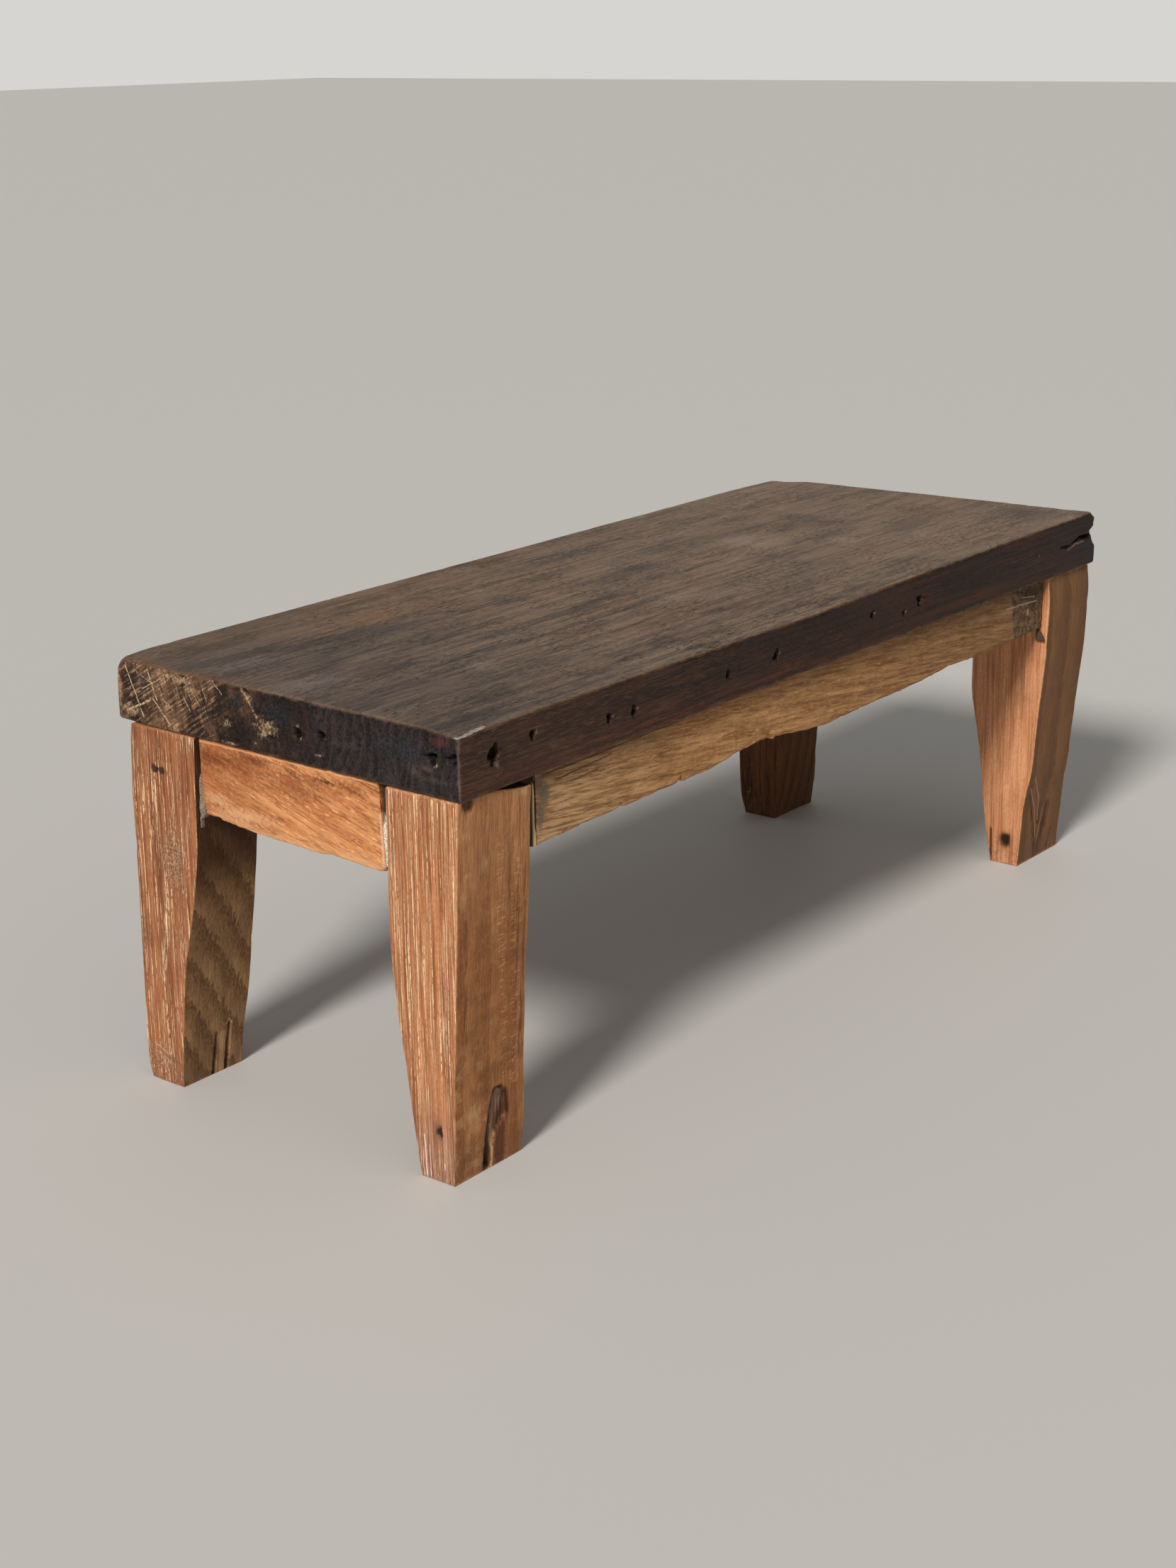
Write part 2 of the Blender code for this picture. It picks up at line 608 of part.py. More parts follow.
def screw_mesh(material):
    """One slotted countersunk screw, its head's face at the origin and its point along +Z."""
    head, shank = SCREW_HEAD / 2, SCREW_SHANK / 2
    stations = ((0, head), (SCREW_RIM, head), (SCREW_RIM + head - shank, shank),
                (SCREW_LENGTH - SCREW_TIP_LENGTH, shank), (SCREW_LENGTH, SCREW_TIP / 2))
    shape = bmesh.new()
    add_turned(shape, (0, 0, 0), (0, 0, 1), stations, SCREW_SIDES)
    blank = make_object("screw_blank", shape)
    slot = bmesh.new()
    add_box(slot, (-SCREW_HEAD, -SLOT_WIDTH / 2, -CUT_OVER), (SCREW_HEAD, SLOT_WIDTH / 2, SLOT_DEPTH))
    boolean(blank, make_object("screw_slot", slot))
    ready = blank.evaluated_get(bpy.context.evaluated_depsgraph_get())
    mesh = bpy.data.meshes.new_from_object(ready)
    mesh.materials.clear()
    mesh.materials.append(material)
    return mesh


def add_screw_hole(shape, start, axis):
    """The cutter of one screw's hole, a gap larger than the screw all round."""
    head, shank = SCREW_HEAD / 2 + FIT, SCREW_SHANK / 2 + FIT
    stations = ((-CUT_OVER, head), (SCREW_RIM + FIT, head), (SCREW_RIM + FIT + head - shank, shank),
                (SCREW_LENGTH + FIT, shank))
    add_turned(shape, start, axis, stations, SCREW_SIDES)


def place_screw(name, mesh, start, axis):
    """A copy of the screw, turned to point along an axis."""
    screw = bpy.data.objects.new(name, mesh)
    screw.location = start
    screw.rotation_euler = Vector(axis).to_track_quat("Z", "Y").to_euler()
    bpy.context.scene.collection.objects.link(screw)


def make_cleat(apron, rail, slab, material, screw):
    """A square batten along the inside of an apron, screwed to it and up into the slab."""
    side_shares, up_shares = END_SIDE_SCREW_shares, END_UP_SCREW_shares
    if apron.runs_along_x:
        side_shares, up_shares = LONG_SIDE_SCREW_shares, LONG_UP_SCREW_shares
    part = apron.name.replace("apron_", "")
    near = apron.inner + apron.inward * FIT
    far = near + apron.inward * CLEAT_SIDE
    start, end = apron.faces[0] + CLEAT_END_GAP, apron.faces[1] - CLEAT_END_GAP
    low = RAIL_TOP - CLEAT_SIDE
    shape = bmesh.new()
    add_box(shape, apron.place(start, near, low), apron.place(end, far, RAIL_TOP))
    cleat = make_object("cleat_" + part, shape, material)
    side_axis = apron.place(0, -apron.inward, 0)
    middle = low + CLEAT_SIDE / 2
    places = [apron.place(start + share * (end - start), far, middle) for share in side_shares]
    side_holes = bmesh.new()
    for number, place in enumerate(places, 1):
        add_screw_hole(side_holes, place, side_axis)
        place_screw(f"screw_{part}_side_{number}", screw, place, side_axis)
    up_holes = bmesh.new()
    places = [apron.place(start + share * (end - start), (near + far) / 2, low) for share in up_shares]
    for number, place in enumerate(places, 1):
        add_screw_hole(up_holes, place, (0, 0, 1))
        place_screw(f"screw_{part}_up_{number}", screw, place, (0, 0, 1))
    side_cutter = make_object(f"cleat_{part}_side_holes", side_holes)
    up_cutter = make_object(f"cleat_{part}_up_holes", up_holes)
    boolean(cleat, side_cutter)
    boolean(cleat, up_cutter)
    boolean(rail, side_cutter)
    boolean(slab, up_cutter)


def make_plug(apron, material):
    """The small lump of putty on the front right leg, just under the front apron's end."""
    face = apron.faces[1] - FIT
    top = apron.lower_edge(1) - FIT
    centre = (apron.outer, top - PLUG_HEIGHT / 2)
    turns = [math.tau * step / PEG_SIDES for step in range(PEG_SIDES)]
    rings = []
    for size, out in PLUG_shares:
        rings.append([(face - out * PLUG_THICK, centre[0] + size * PLUG_WIDTH / 2 * math.cos(turn),
                       centre[1] + size * PLUG_HEIGHT / 2 * math.sin(turn)) for turn in turns])
    shape = bmesh.new()
    add_loft(shape, rings)
    make_object("plug_front_right", shape, material)


# The whole bench

slab = make_slab()
leg_colours = {
    "leg_front_left": (0.33, 0.17, 0.07),
    "leg_front_right": (0.36, 0.15, 0.05),
    "leg_back_left": (0.20, 0.12, 0.06),
    "leg_back_right": (0.12, 0.06, 0.03),
}
legs = {leg: make_leg(leg, wood(leg + "_wood", colour)) for leg, colour in leg_colours.items()}
scoop_front_left_foot(legs["leg_front_left"])
split_back_left_foot(legs["leg_back_left"])

aprons = [
    Apron("apron_front", True, ("leg_front_left", "leg_front_right"), FRONT_APRON_SET - SLAB_WIDTH / 2, 1,
          APRON_DEPTH, TENON_IN_LEG, (SHIM_WIDTH, 0), SHIM_TAPER),
    Apron("apron_back", True, ("leg_back_left", "leg_back_right"), SLAB_WIDTH / 2 - BACK_APRON_SET, -1,
          APRON_DEPTH, TENON_IN_LEG, (0, 0)),
    Apron("apron_left", False, ("leg_front_left", "leg_back_left"), LEFT_APRON_SET - SLAB_LENGTH / 2, 1,
          END_APRON_DEPTH, END_TENON_IN_LEG, (PACKING_LEFT_FRONT, PACKING_LEFT_BACK)),
    Apron("apron_right", False, ("leg_front_right", "leg_back_right"),
          SLAB_LENGTH / 2 - RIGHT_END_SET - RIGHT_APRON_SET, -1,
          END_APRON_DEPTH, END_TENON_IN_LEG, (0, 0)),
]
apron_colours = {
    "apron_front": (0.40, 0.20, 0.07),
    "apron_back": (0.34, 0.17, 0.07),
    "apron_left": (0.44, 0.19, 0.06),
    "apron_right": (0.36, 0.17, 0.06),
}
rails = {}
for apron in aprons:
    rails[apron.name] = apron.make(wood(apron.name + "_wood", apron_colours[apron.name]))
    for which, leg in enumerate(apron.legs):
        boolean(legs[leg], apron.mortise(which))

filler = wood("filler_grey", (0.20, 0.18, 0.16), 0.8)
front, back, left, right = aprons
left.make_packing("filler_left_front", 0, END_APRON_DEPTH + APRON_WAVE / 3, filler)
left.make_packing("filler_left_back", 1, PACKING_LEFT_BACK_DEPTH, filler)
shim_wood = wood("shim_wood", (0.55, 0.38, 0.20))
front.make_packing("shim_front_left", 0, APRON_DEPTH + APRON_WAVE / 4, shim_wood)
make_plug(front, wood("plug_putty", (0.30, 0.28, 0.25), 0.8))

peg_wood = wood("peg_wood", (0.45, 0.28, 0.12))
long_rails = {-1: rails["apron_front"], 1: rails["apron_back"]}
end_rails = {-1: rails["apron_left"], 1: rails["apron_right"]}
for leg, (side_x, side_y) in LEG_SIDES.items():
    long_hole = peg_for_long_tenon(leg, peg_wood)
    end_hole = peg_for_end_tenon(leg, peg_wood)
    boolean(legs[leg], long_hole)
    boolean(legs[leg], end_hole)
    boolean(long_rails[side_y], long_hole)
    boolean(end_rails[side_x], end_hole)

nail_hole = make_nail("leg_back_left", wood("nail_iron", (0.03, 0.025, 0.022), 0.5, 0.8))
boolean(legs["leg_back_left"], nail_hole)
boolean(rails["apron_left"], nail_hole)

cleat_wood = wood("cleat_wood", (0.48, 0.32, 0.16))
screw = screw_mesh(wood("screw_steel", (0.35, 0.33, 0.30), 0.4, 1.0))
for apron in aprons:
    make_cleat(apron, rails[apron.name], slab, cleat_wood, screw)
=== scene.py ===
# %% [markdown]
# # A worn teak bench
# This lesson dresses a bench that a CAD program has already built and measured. The real bench is
# a thick old slab on four tapering legs, tied together by four rails. We load its solids as a
# fixed frame, and then make every piece of wood again with its worn edges, splits, nail holes and
# grain. Nothing changes size: the new pieces stay inside the solids' box.

# %% Load the bench's solids
import math

import bpy
import numpy as np
from mathutils import Matrix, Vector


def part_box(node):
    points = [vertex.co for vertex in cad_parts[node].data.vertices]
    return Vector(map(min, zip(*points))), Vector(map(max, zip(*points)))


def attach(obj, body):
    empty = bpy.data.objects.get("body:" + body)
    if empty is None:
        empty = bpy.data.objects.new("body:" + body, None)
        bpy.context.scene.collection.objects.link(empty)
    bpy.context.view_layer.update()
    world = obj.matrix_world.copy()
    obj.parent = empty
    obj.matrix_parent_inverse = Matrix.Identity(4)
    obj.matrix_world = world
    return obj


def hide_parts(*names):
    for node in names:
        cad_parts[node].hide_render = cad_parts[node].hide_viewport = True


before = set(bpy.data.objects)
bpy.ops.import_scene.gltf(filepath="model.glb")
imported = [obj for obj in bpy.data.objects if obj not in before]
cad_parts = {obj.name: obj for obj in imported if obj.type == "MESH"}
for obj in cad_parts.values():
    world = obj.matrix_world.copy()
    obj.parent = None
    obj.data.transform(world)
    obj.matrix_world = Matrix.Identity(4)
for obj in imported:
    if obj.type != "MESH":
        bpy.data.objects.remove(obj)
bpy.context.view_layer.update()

# %% [markdown]
# ## The sizes that everything hangs on
# A maker notes a few lengths before cutting wood, and so does this script. They repeat the CAD
# model's own sizes in metres: +X runs along the bench, the front long side faces -Y, and the
# floor is at z = 0. The origin is under the middle of the slab.

# %% Sizes
SEAT_HEIGHT = 0.4205
SLAB_LENGTH, SLAB_WIDTH, SLAB_THICK = 1.1352, 0.436, 0.0605
LEFT_END_SET, RIGHT_END_SET = 0.0072, 0.029
UNDERSIDE = SEAT_HEIGHT - SLAB_THICK
RAIL_TOP = UNDERSIDE - 0.0003
LEG_WIDTH, LEG_DEPTH, LEG_HEIGHT = 0.092, 0.086, RAIL_TOP
RAIL_THICK, LONG_RAIL_DEEP, END_RAIL_DEEP = 0.032, 0.066, 0.08
MM = 0.001
LONG_RAILS = ("apron_front", "apron_back")
print("underside of the slab:", round(UNDERSIDE, 4))

# %% [markdown]
# ## Repeatable noise
# Old wood is never quite straight or flat. Value noise gives soft, repeatable bumps: every corner
# of a grid of cells has a fixed number between 0 and 1, and a point takes a smooth mixture of the
# eight corners round it. Adding copies with smaller cells gives rough as well as gentle bumps.

# %% Noise in numpy
def corner_number(cell, seed):
    """A fixed number from 0 to 1 for each whole-number cell corner, mixed from its three indices."""
    mixed = (cell[..., 0] * 374761393 + cell[..., 1] * 668265263 + cell[..., 2] * 1103515245
             + seed * 974634777) & 0xFFFFFFFF
    mixed = ((mixed ^ (mixed >> 13)) * 1274126177) & 0xFFFFFFFF
    return ((mixed ^ (mixed >> 16)) & 0xFFFFFF) / 0xFFFFFF


def noise(points, cell, seed=0, octaves=1):
    """Value noise from 0 to 1. cell is the bumps' size in metres along X, Y and Z. Each octave
    halves the size and the strength."""
    total, strength, most = np.zeros(len(points)), 1.0, 0.0
    place = np.asarray(points) / np.asarray(cell, float)
    for octave in range(octaves):
        low = np.floor(place).astype(np.int64)
        share = place - low
        share = share * share * (3 - 2 * share)
        for corner in np.ndindex(2, 2, 2):
            weight = np.prod(np.where(np.array(corner), share, 1 - share), axis=1)
            total += strength * weight * corner_number(low + np.array(corner), seed + octave)
        most += strength
        place, strength = place * 2.03, strength / 2
    return total / most


def smooth_step(values, low, high):
    """0 below low, 1 above high, and an S-curve between them."""
    share = np.clip((np.asarray(values, float) - low) / (high - low), 0, 1)
    return share * share * (3 - 2 * share)


print("noise test:", np.round(noise(np.eye(3), (0.3, 0.3, 0.3)), 3).tolist())

# %% [markdown]
# ## A bar of wood as six grids
# Each piece here began as a sawn bar, so one surface serves them all: the skin of a box, made of
# six grids that share the points along their edges. The grid lines stand closer together where
# there is something small to show, such as a nail hole. A side that nobody looks at closely, such
# as the slab's underside, is one flat face instead of a grid. It keeps the mesh light.

# %% The skin of a box
def grid_lines(length, step, dense=()):
    """Places of grid lines from 0 to length, a step apart, and closer round each listed
    (centre, reach, finer step)."""
    places = np.linspace(0, length, int(round(length / step)) + 1)
    for centre, reach, fine in dense:
        low, high = max(centre - reach, 0), min(centre + reach, length)
        between = np.linspace(low, high, max(int(round((high - low) / fine)), 1) + 1)
        far = (places < low - fine / 2) | (places > high + fine / 2)
        places = np.concatenate([places[far], between])
    return np.unique(np.round(places, 6))


def both_ends(length, reach, fine):
    """Closer grid lines at both ends of a length."""
    return [(0, reach, fine), (length, reach, fine)]


def box_skin(lines, flat_sides=()):
    """Points, quads and flat faces of a box's skin. A side is (axis, 0 for low or 1 for high)."""
    counts = [len(places) for places in lines]
    index = np.indices(counts)
    at = {(axis, end): index[axis] == end * (counts[axis] - 1) for axis in range(3) for end in (0, 1)}
    kept = np.zeros(counts, bool)
    for side in at:
        if side not in flat_sides:
            kept |= at[side]
    number = np.full(counts, -1)
    number[kept] = np.arange(kept.sum())
    points = np.stack([np.asarray(lines[axis])[index[axis][kept]] for axis in range(3)], axis=1)
    quads, flats = [], []
    for axis, end in at:
        ids = np.take(number, end * (counts[axis] - 1), axis=axis)
        turned = (end == 1) == (axis == 1)
        if (axis, end) in flat_sides:
            ring = np.concatenate([ids[0, :-1], ids[:-1, -1], ids[-1, :0:-1], ids[:0:-1, 0]])
            flats.append(ring if turned else ring[::-1])
        else:
            four = [ids[:-1, :-1], ids[1:, :-1], ids[1:, 1:], ids[:-1, 1:]]
            four = np.stack([part.ravel() for part in (four[::-1] if turned else four)], axis=1)
            quads.append(four)
    return points, np.concatenate(quads), flats


def rounded(points, size, radius, flat_sides=()):
    """The skin with rounded arrises, and the way that each point faces. Each point moves onto a
    ball of that radius round the nearest point of a box that is smaller by the radius all round.
    Next to a flat side the arc runs on until it lies in that side."""
    size = np.asarray(size, float)
    radius = np.broadcast_to(np.asarray(radius, float).reshape(-1, 1), (len(points), 1))
    points = np.array(points)
    for axis, end in flat_sides:
        away = size[axis] - points[:, axis] if end else points[:, axis].copy()
        turn = np.radians(89.9) * np.clip(1 - away / radius[:, 0], 0, 1)
        away = np.where(turn > 0, radius[:, 0] * (1 - np.tan(turn)), away)
        points[:, axis] = size[axis] - away if end else away
    inner = np.clip(points, radius, size - radius)
    out = points - inner
    facing = out / np.maximum(np.linalg.norm(out, axis=1, keepdims=True), 1e-12)
    return inner + facing * radius, facing


test = box_skin([grid_lines(1, 0.5)] * 3, [(2, 0)])
print("test box:", len(test[0]), "points,", len(test[1]), "quads,", len(test[2][0]), "corners below")

# %% [markdown]
# ## Marks on a flat side
# Splits, chips and hollows are drawn on a side as lines and outlines, the way a carpenter would
# pencil them. For each point of the mesh we ask how far it is from a line, or whether it is
# inside an outline, and push it into the wood by that much.

# %% Lines and outlines on a side
def line_distance(across, up, line):
    """Distance of each point from a line of straight stretches, and how far along it (0 to 1)."""
    best, along = np.full(len(across), 1e9), np.zeros(len(across))
    line = np.asarray(line, float)
    for number, (start, end) in enumerate(zip(line, line[1:])):
        step = end - start
        share = ((across - start[0]) * step[0] + (up - start[1]) * step[1]) / (step @ step)
        share = np.clip(share, 0, 1)
        away = np.hypot(across - start[0] - share * step[0], up - start[1] - share * step[1])
        nearer = away < best
        best = np.where(nearer, away, best)
        along = np.where(nearer, (number + share) / (len(line) - 1), along)
    return best, along


def inside(across, up, outline):
    """True for points inside a closed outline: a ray from them crosses it an odd number of times."""
    odd = np.zeros(len(across), bool)
    for (x0, z0), (x1, z1) in zip(outline, [*outline[1:], outline[0]]):
        crosses = (z0 > up) != (z1 > up)
        rise = z1 - z0 if z1 != z0 else 1e-12
        odd ^= crosses & (across < (x1 - x0) * (up - z0) / rise + x0)
    return odd


def hollow(across, up, outline, slope):
    """1 well inside an outline, 0 outside, with a slope of that width along its edge."""
    edge = line_distance(across, up, [*outline, outline[0]])[0]
    return np.where(inside(across, up, outline), smooth_step(edge, 0, slope), 0)


def pit(across, up, centre, size, seed=0):
    """1 in the middle of a ragged round pit and 0 outside it. size is its width and height."""
    x, z = (across - centre[0]) / (size[0] / 2), (up - centre[1]) / (size[1] / 2)
    angle = np.arctan2(z, x)
    ragged = 1 + 0.16 * np.sin(3 * angle + seed) + 0.1 * np.sin(5 * angle + 2 * seed)
    return 1 - smooth_step(np.hypot(x, z) / ragged, 0.55, 1.15)


print("inside a unit square:", inside(np.array([0.5, 2.0]), np.array([0.5, 0.5]),
                                      [(0, 0), (1, 0), (1, 1), (0, 1)]).tolist())

# %% [markdown]
# ## From arrays to a Blender piece
# A piece is a mesh, a few named numbers on its points, and a place in the frame. The numbers,
# such as how near an arris a point is, are painted on as attributes, and the finishes read them
# later. Each new piece says which solid it stands for, and it rides on the one body.

# %% Make and paint a piece
pieces = {}


def new_object(name, data):
    """An object in the scene that shows this mesh, lamp or camera."""
    made = bpy.data.objects.new(name, data)
    bpy.context.scene.collection.objects.link(made)
    return made


def make_piece(node, ending, slot, points, quads, flats, paints):
    """A smooth-shaded mesh with its painted numbers. It replaces a node and rides on the one body."""
    name = node + ending
    mesh = bpy.data.meshes.new(name)
    mesh.from_pydata(points.tolist(), [], quads.tolist() + [ring.tolist() for ring in flats])
    mesh.polygons.foreach_set("use_smooth", [True] * len(quads) + [False] * len(flats))
    for label, values in paints.items():
        layer = mesh.attributes.new(label, "FLOAT", "POINT")
        layer.data.foreach_set("value", np.asarray(values, np.float32))
    mesh.validate()
    piece = new_object(name, mesh)
    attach(piece, "root")
    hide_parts(node)
    pieces[node] = piece
    print(name, len(points), "points,", len(quads), "quads")


def near_arris(points, size, reach):
    """1 on the bar's arrises, falling to 0 at reach: the second smallest distance to a side."""
    away = np.sort(np.minimum(points, np.asarray(size) - points), axis=1)
    return 1 - smooth_step(away[:, 1], 0, reach)


def faces(direction):
    """1 where points face mostly along a direction, 0 where they don't."""
    return smooth_step(direction, 0.6, 0.9)


# %% [markdown]
# ## The seat slab
# The seat is one plank 60 mm thick, worn smooth and dark. Its ends aren't square, its front
# arris waves a little, and its back right corner is rubbed right off. Old nail holes run along
# the front edge, a split opens the left end, and a piece has broken out of the front right
# corner. A plain box with a picture on it would miss all of that, so each of these is a dent or a
# bend of the box's skin, written as a function of the place on it.

# %% The slab's marks, in metres on its sides
# A nail hole is its centre and its width. A corner pit is a depth in millimetres, a centre, a size
# and a seed. The wave and the break are places, and how much is added or lost there.
front_holes = [
    ((-0.4709, 0.3976), 0.0052), ((-0.3643, 0.3873), 0.005), ((-0.3278, 0.3857), 0.0058),
    ((-0.1814, 0.3871), 0.0046), ((-0.0997, 0.3886), 0.006), ((0.0751, 0.3943), 0.0046),
    ((0.1373, 0.3841), 0.0042), ((0.1687, 0.391), 0.0064),
]
end_holes = [((-0.0265, 0.3882), 0.0062), ((-0.056, 0.3911), 0.0052), ((-0.1872, 0.3942), 0.0068),
             ((-0.2105, 0.3976), 0.0056)]
corner_pits = [(9, (-0.5215, 0.394), (0.015, 0.014), 4), (5, (-0.5228, 0.3865), (0.0095, 0.008), 2)]
end_split = [(0.0435, 0.42), (0.0322, 0.4106), (0.0257, 0.4005), (0.0209, 0.3929),
             (0.0161, 0.3839), (0.0111, 0.3782), (0.0041, 0.3762), (0.0012, 0.3669)]
front_split = [(0.56, 0.401), (0.5473, 0.3945), (0.5263, 0.3962), (0.5054, 0.3898), (0.4813, 0.3921)]
arris_wave = [(-0.5676, -0.0021), (-0.49, -0.0009), (-0.23, -0.0022), (-0.03, -0.0037),
              (0.16, -0.0005), (0.35, 0.0012), (0.43, 0.0015), (0.5676, 0.002)]
broken_corner = [(0.36, 0.0013), (0.3661, 0.0002), (0.3806, 0.0002), (0.3875, 0.0072),
                 (0.4014, 0.0139), (0.4055, 0.0032), (0.4137, 0.0017), (0.4194, 0.009)]
WORN_REACH, WORN_DEPTH = 0.018, 0.016
# How deep a nail hole goes, and the dent at which a point is painted fully dark as shade.
HOLE_DEPTH, FULL_SHADE_DEPTH = 9 * MM, 5 * MM
print("nail holes:", len(front_holes) + len(end_holes))


# %% The slab's skin
SLAB_SIZE = (SLAB_LENGTH, SLAB_WIDTH, SLAB_THICK)
HALF_LENGTH, HALF_WIDTH = SLAB_LENGTH / 2, SLAB_WIDTH / 2


def slab_skin():
    """Box skin with closer grid lines round the marks, rounded most at its back left corner."""
    around_holes = [(x + HALF_LENGTH, 0.0052, 0.0013) for (x, z), width in front_holes]
    along = grid_lines(SLAB_LENGTH, 0.006, [
        (0, 0.006, 0.0012), (SLAB_LENGTH - 0.045, 0.045, 0.002), (SLAB_LENGTH, 0.006, 0.0012),
        (-0.522 + HALF_LENGTH, 0.007, 0.0013), *around_holes])
    across = grid_lines(SLAB_WIDTH, 0.006, [
        (0, 0.008, 0.0013), (SLAB_WIDTH - 0.02, 0.02, 0.003), (SLAB_WIDTH, 0.006, 0.0013),
        (0.0215 + HALF_WIDTH, 0.023, 0.0012),
        *[(y + HALF_WIDTH, 0.0052, 0.0013) for (y, z), width in end_holes[:3]]])
    up = grid_lines(SLAB_THICK, 0.0025, [
        (0, 0.004, 0.001), (0.0305, 0.0135, 0.0012), (SLAB_THICK, 0.006, 0.001)])
    below = [(2, 0)]
    box, quads, flats = box_skin([along, across, up], below)
    near_top = smooth_step(box[:, 2], 0.02, SLAB_THICK)
    wobble = noise(box, (0.045, 0.045, 0.03), 3, 2)
    near_corner = np.exp(-(box[:, 0] ** 2 + (SLAB_WIDTH - box[:, 1]) ** 2) / 0.024 ** 2)
    radius = (2.2 + 2.2 * near_top + 1.6 * wobble + (3 + 5 * near_top) * near_corner) * MM
    points, facing = rounded(box, SLAB_SIZE, radius, below)
    corner = 0.008 + 0.003 * near_top
    over_x, over_y = corner - points[:, 0], points[:, 1] - (SLAB_WIDTH - corner)
    beyond = np.hypot(over_x, over_y) / corner
    cut = (over_x > 0) & (over_y > 0) & (beyond > 1)
    points[:, 0] = np.where(cut, corner - over_x / beyond, points[:, 0])
    points[:, 1] = np.where(cut, SLAB_WIDTH - corner + over_y / beyond, points[:, 1])
    return points, facing, near_arris(box, SLAB_SIZE, 0.009), near_top, quads, flats


# %% The slab's bends
def slab_bent(points, near_top):
    """Skews the ends, waves the front arris, wears the back right corner away, and breaks the
    front right one."""
    x, y, z = points[:, 0] - HALF_LENGTH, points[:, 1] - HALF_WIDTH, points[:, 2] + UNDERSIDE
    from_right = SLAB_LENGTH - points[:, 0]
    missing = np.clip(1 - from_right / WORN_REACH, 0, 1)
    worn = WORN_DEPTH * (1 - np.sqrt(1 - missing ** 2))
    y = y - worn * smooth_step(y, HALF_WIDTH - 0.1, HALF_WIDTH)
    at_back = smooth_step(y, HALF_WIDTH - 0.055, HALF_WIDTH - 0.01)
    z = z - (worn * 0.35 + 0.0015 * smooth_step(from_right, 0.1, 0)) * at_back * near_top
    places, rises = zip(*arris_wave)
    z = z + np.interp(x, places, rises) * (1 - smooth_step(y, -HALF_WIDTH, -HALF_WIDTH + 0.045)) * near_top
    heights, broken = zip(*broken_corner)
    loss = np.interp(z + 0.0015 * (noise(points, 0.004, 9) - 0.5), heights, broken)
    loss = loss * np.exp(-((y + HALF_WIDTH) / 0.03) ** 2) * smooth_step(from_right, 0.06, 0)
    sides = y / SLAB_WIDTH + 0.5
    start, end = -HALF_LENGTH + LEFT_END_SET * sides, HALF_LENGTH - RIGHT_END_SET * sides
    x = start + points[:, 0] / SLAB_LENGTH * (end - start) - loss
    return np.stack([x, y, z], axis=1)


# %% The slab's dents
def slab_dents(points, facing, arris, near_top):
    """How deep each point lies: the deepest of the holes and splits there, and then the pitted
    end, the grain, the scratches on top and the nicked arrises. Returns the paints as well."""
    x, y, z = points.T
    on_front, on_back = faces(-facing[:, 1]), faces(facing[:, 1])
    on_left, on_right, on_top = faces(-facing[:, 0]), faces(facing[:, 0]), faces(facing[:, 2])
    dents = [HOLE_DEPTH * on_front * pit(x, z, centre, (width * 1.55, width * 1.75), number)
             for number, (centre, width) in enumerate(front_holes)]
    dents += [HOLE_DEPTH * on_left * pit(y, z, centre, (width * 1.7, width * 1.7), number + 5)
              for number, (centre, width) in enumerate(end_holes)]
    dents += [depth * MM * on_front * pit(x, z, centre, pit_size, seed)
              for depth, centre, pit_size, seed in corner_pits]
    away, run = line_distance(y, z, end_split)
    dents.append(6 * MM * on_left * (1 - smooth_step(away, 0.0008, 0.0027 - 0.0008 * run)))
    away, run = line_distance(x, z, front_split)
    dents.append((9 - 6 * run) * MM * on_front * (1 - smooth_step(away, 0.001, 0.0036 - 0.002 * run)))
    dent = np.maximum.reduce([np.zeros(len(points)), *dents])
    # The holes and splits are painted dark as shade: the deeper the dent, the darker.
    hole = np.clip(dent / FULL_SHADE_DEPTH, 0, 1)

    pitted = np.exp(-((y - 0.014) / 0.017) ** 2 - ((z - 0.3895) / 0.012) ** 2)
    dent += 2.2 * MM * on_left * pitted * smooth_step(noise(points, 0.0035, 21, 2), 0.45, 0.75)
    dent += 0.9 * MM * on_left * smooth_step(noise(points, (1, 0.02, 0.03), 22, 3), 0.5, 0.8)
    dent += 0.8 * MM * on_right * noise(points, (1, 0.012, 0.02), 23, 3)
    dent += 0.5 * MM * (on_front + on_back) * noise(points, (0.05, 1, 0.009), 24, 3)
    dent += 0.7 * MM * on_top * noise(points, (0.3, 0.05, 1), 25, 3)
    dent += 0.35 * MM * on_top * smooth_step(noise(points, (0.06, 0.007, 1), 26, 2), 0.5, 0.85)
    nicks = smooth_step(noise(points, 0.012, 27, 2), 0.62, 0.86)
    dent += (1.5 - near_top) * MM * arris * nicks
    return dent, {"arris": arris, "hole": hole, "end_side": on_left + on_right,
                  "long_side": on_front + on_back, "top_side": on_top}


points, facing, arris, near_top, quads, flats = slab_skin()
points = slab_bent(points, near_top)
dent, paints = slab_dents(points, facing, arris, near_top)
make_piece("seat_slab", "_worn", "slab_wood", points - facing * dent[:, None], quads, flats, paints)

# %% [markdown]
# ## The legs
# Each leg is a stout post that tapers across the bench towards the foot, mostly on its inner
# face, and no two of its four sides are straight. Their outlines come from the photograph, as
# pairs of height and distance in from the slab's corner. Running the same box skin through
# four outlines gives a leg. Long shallow grooves follow the grain, because the soft part of each
# growth ring wears away faster than the hard part.

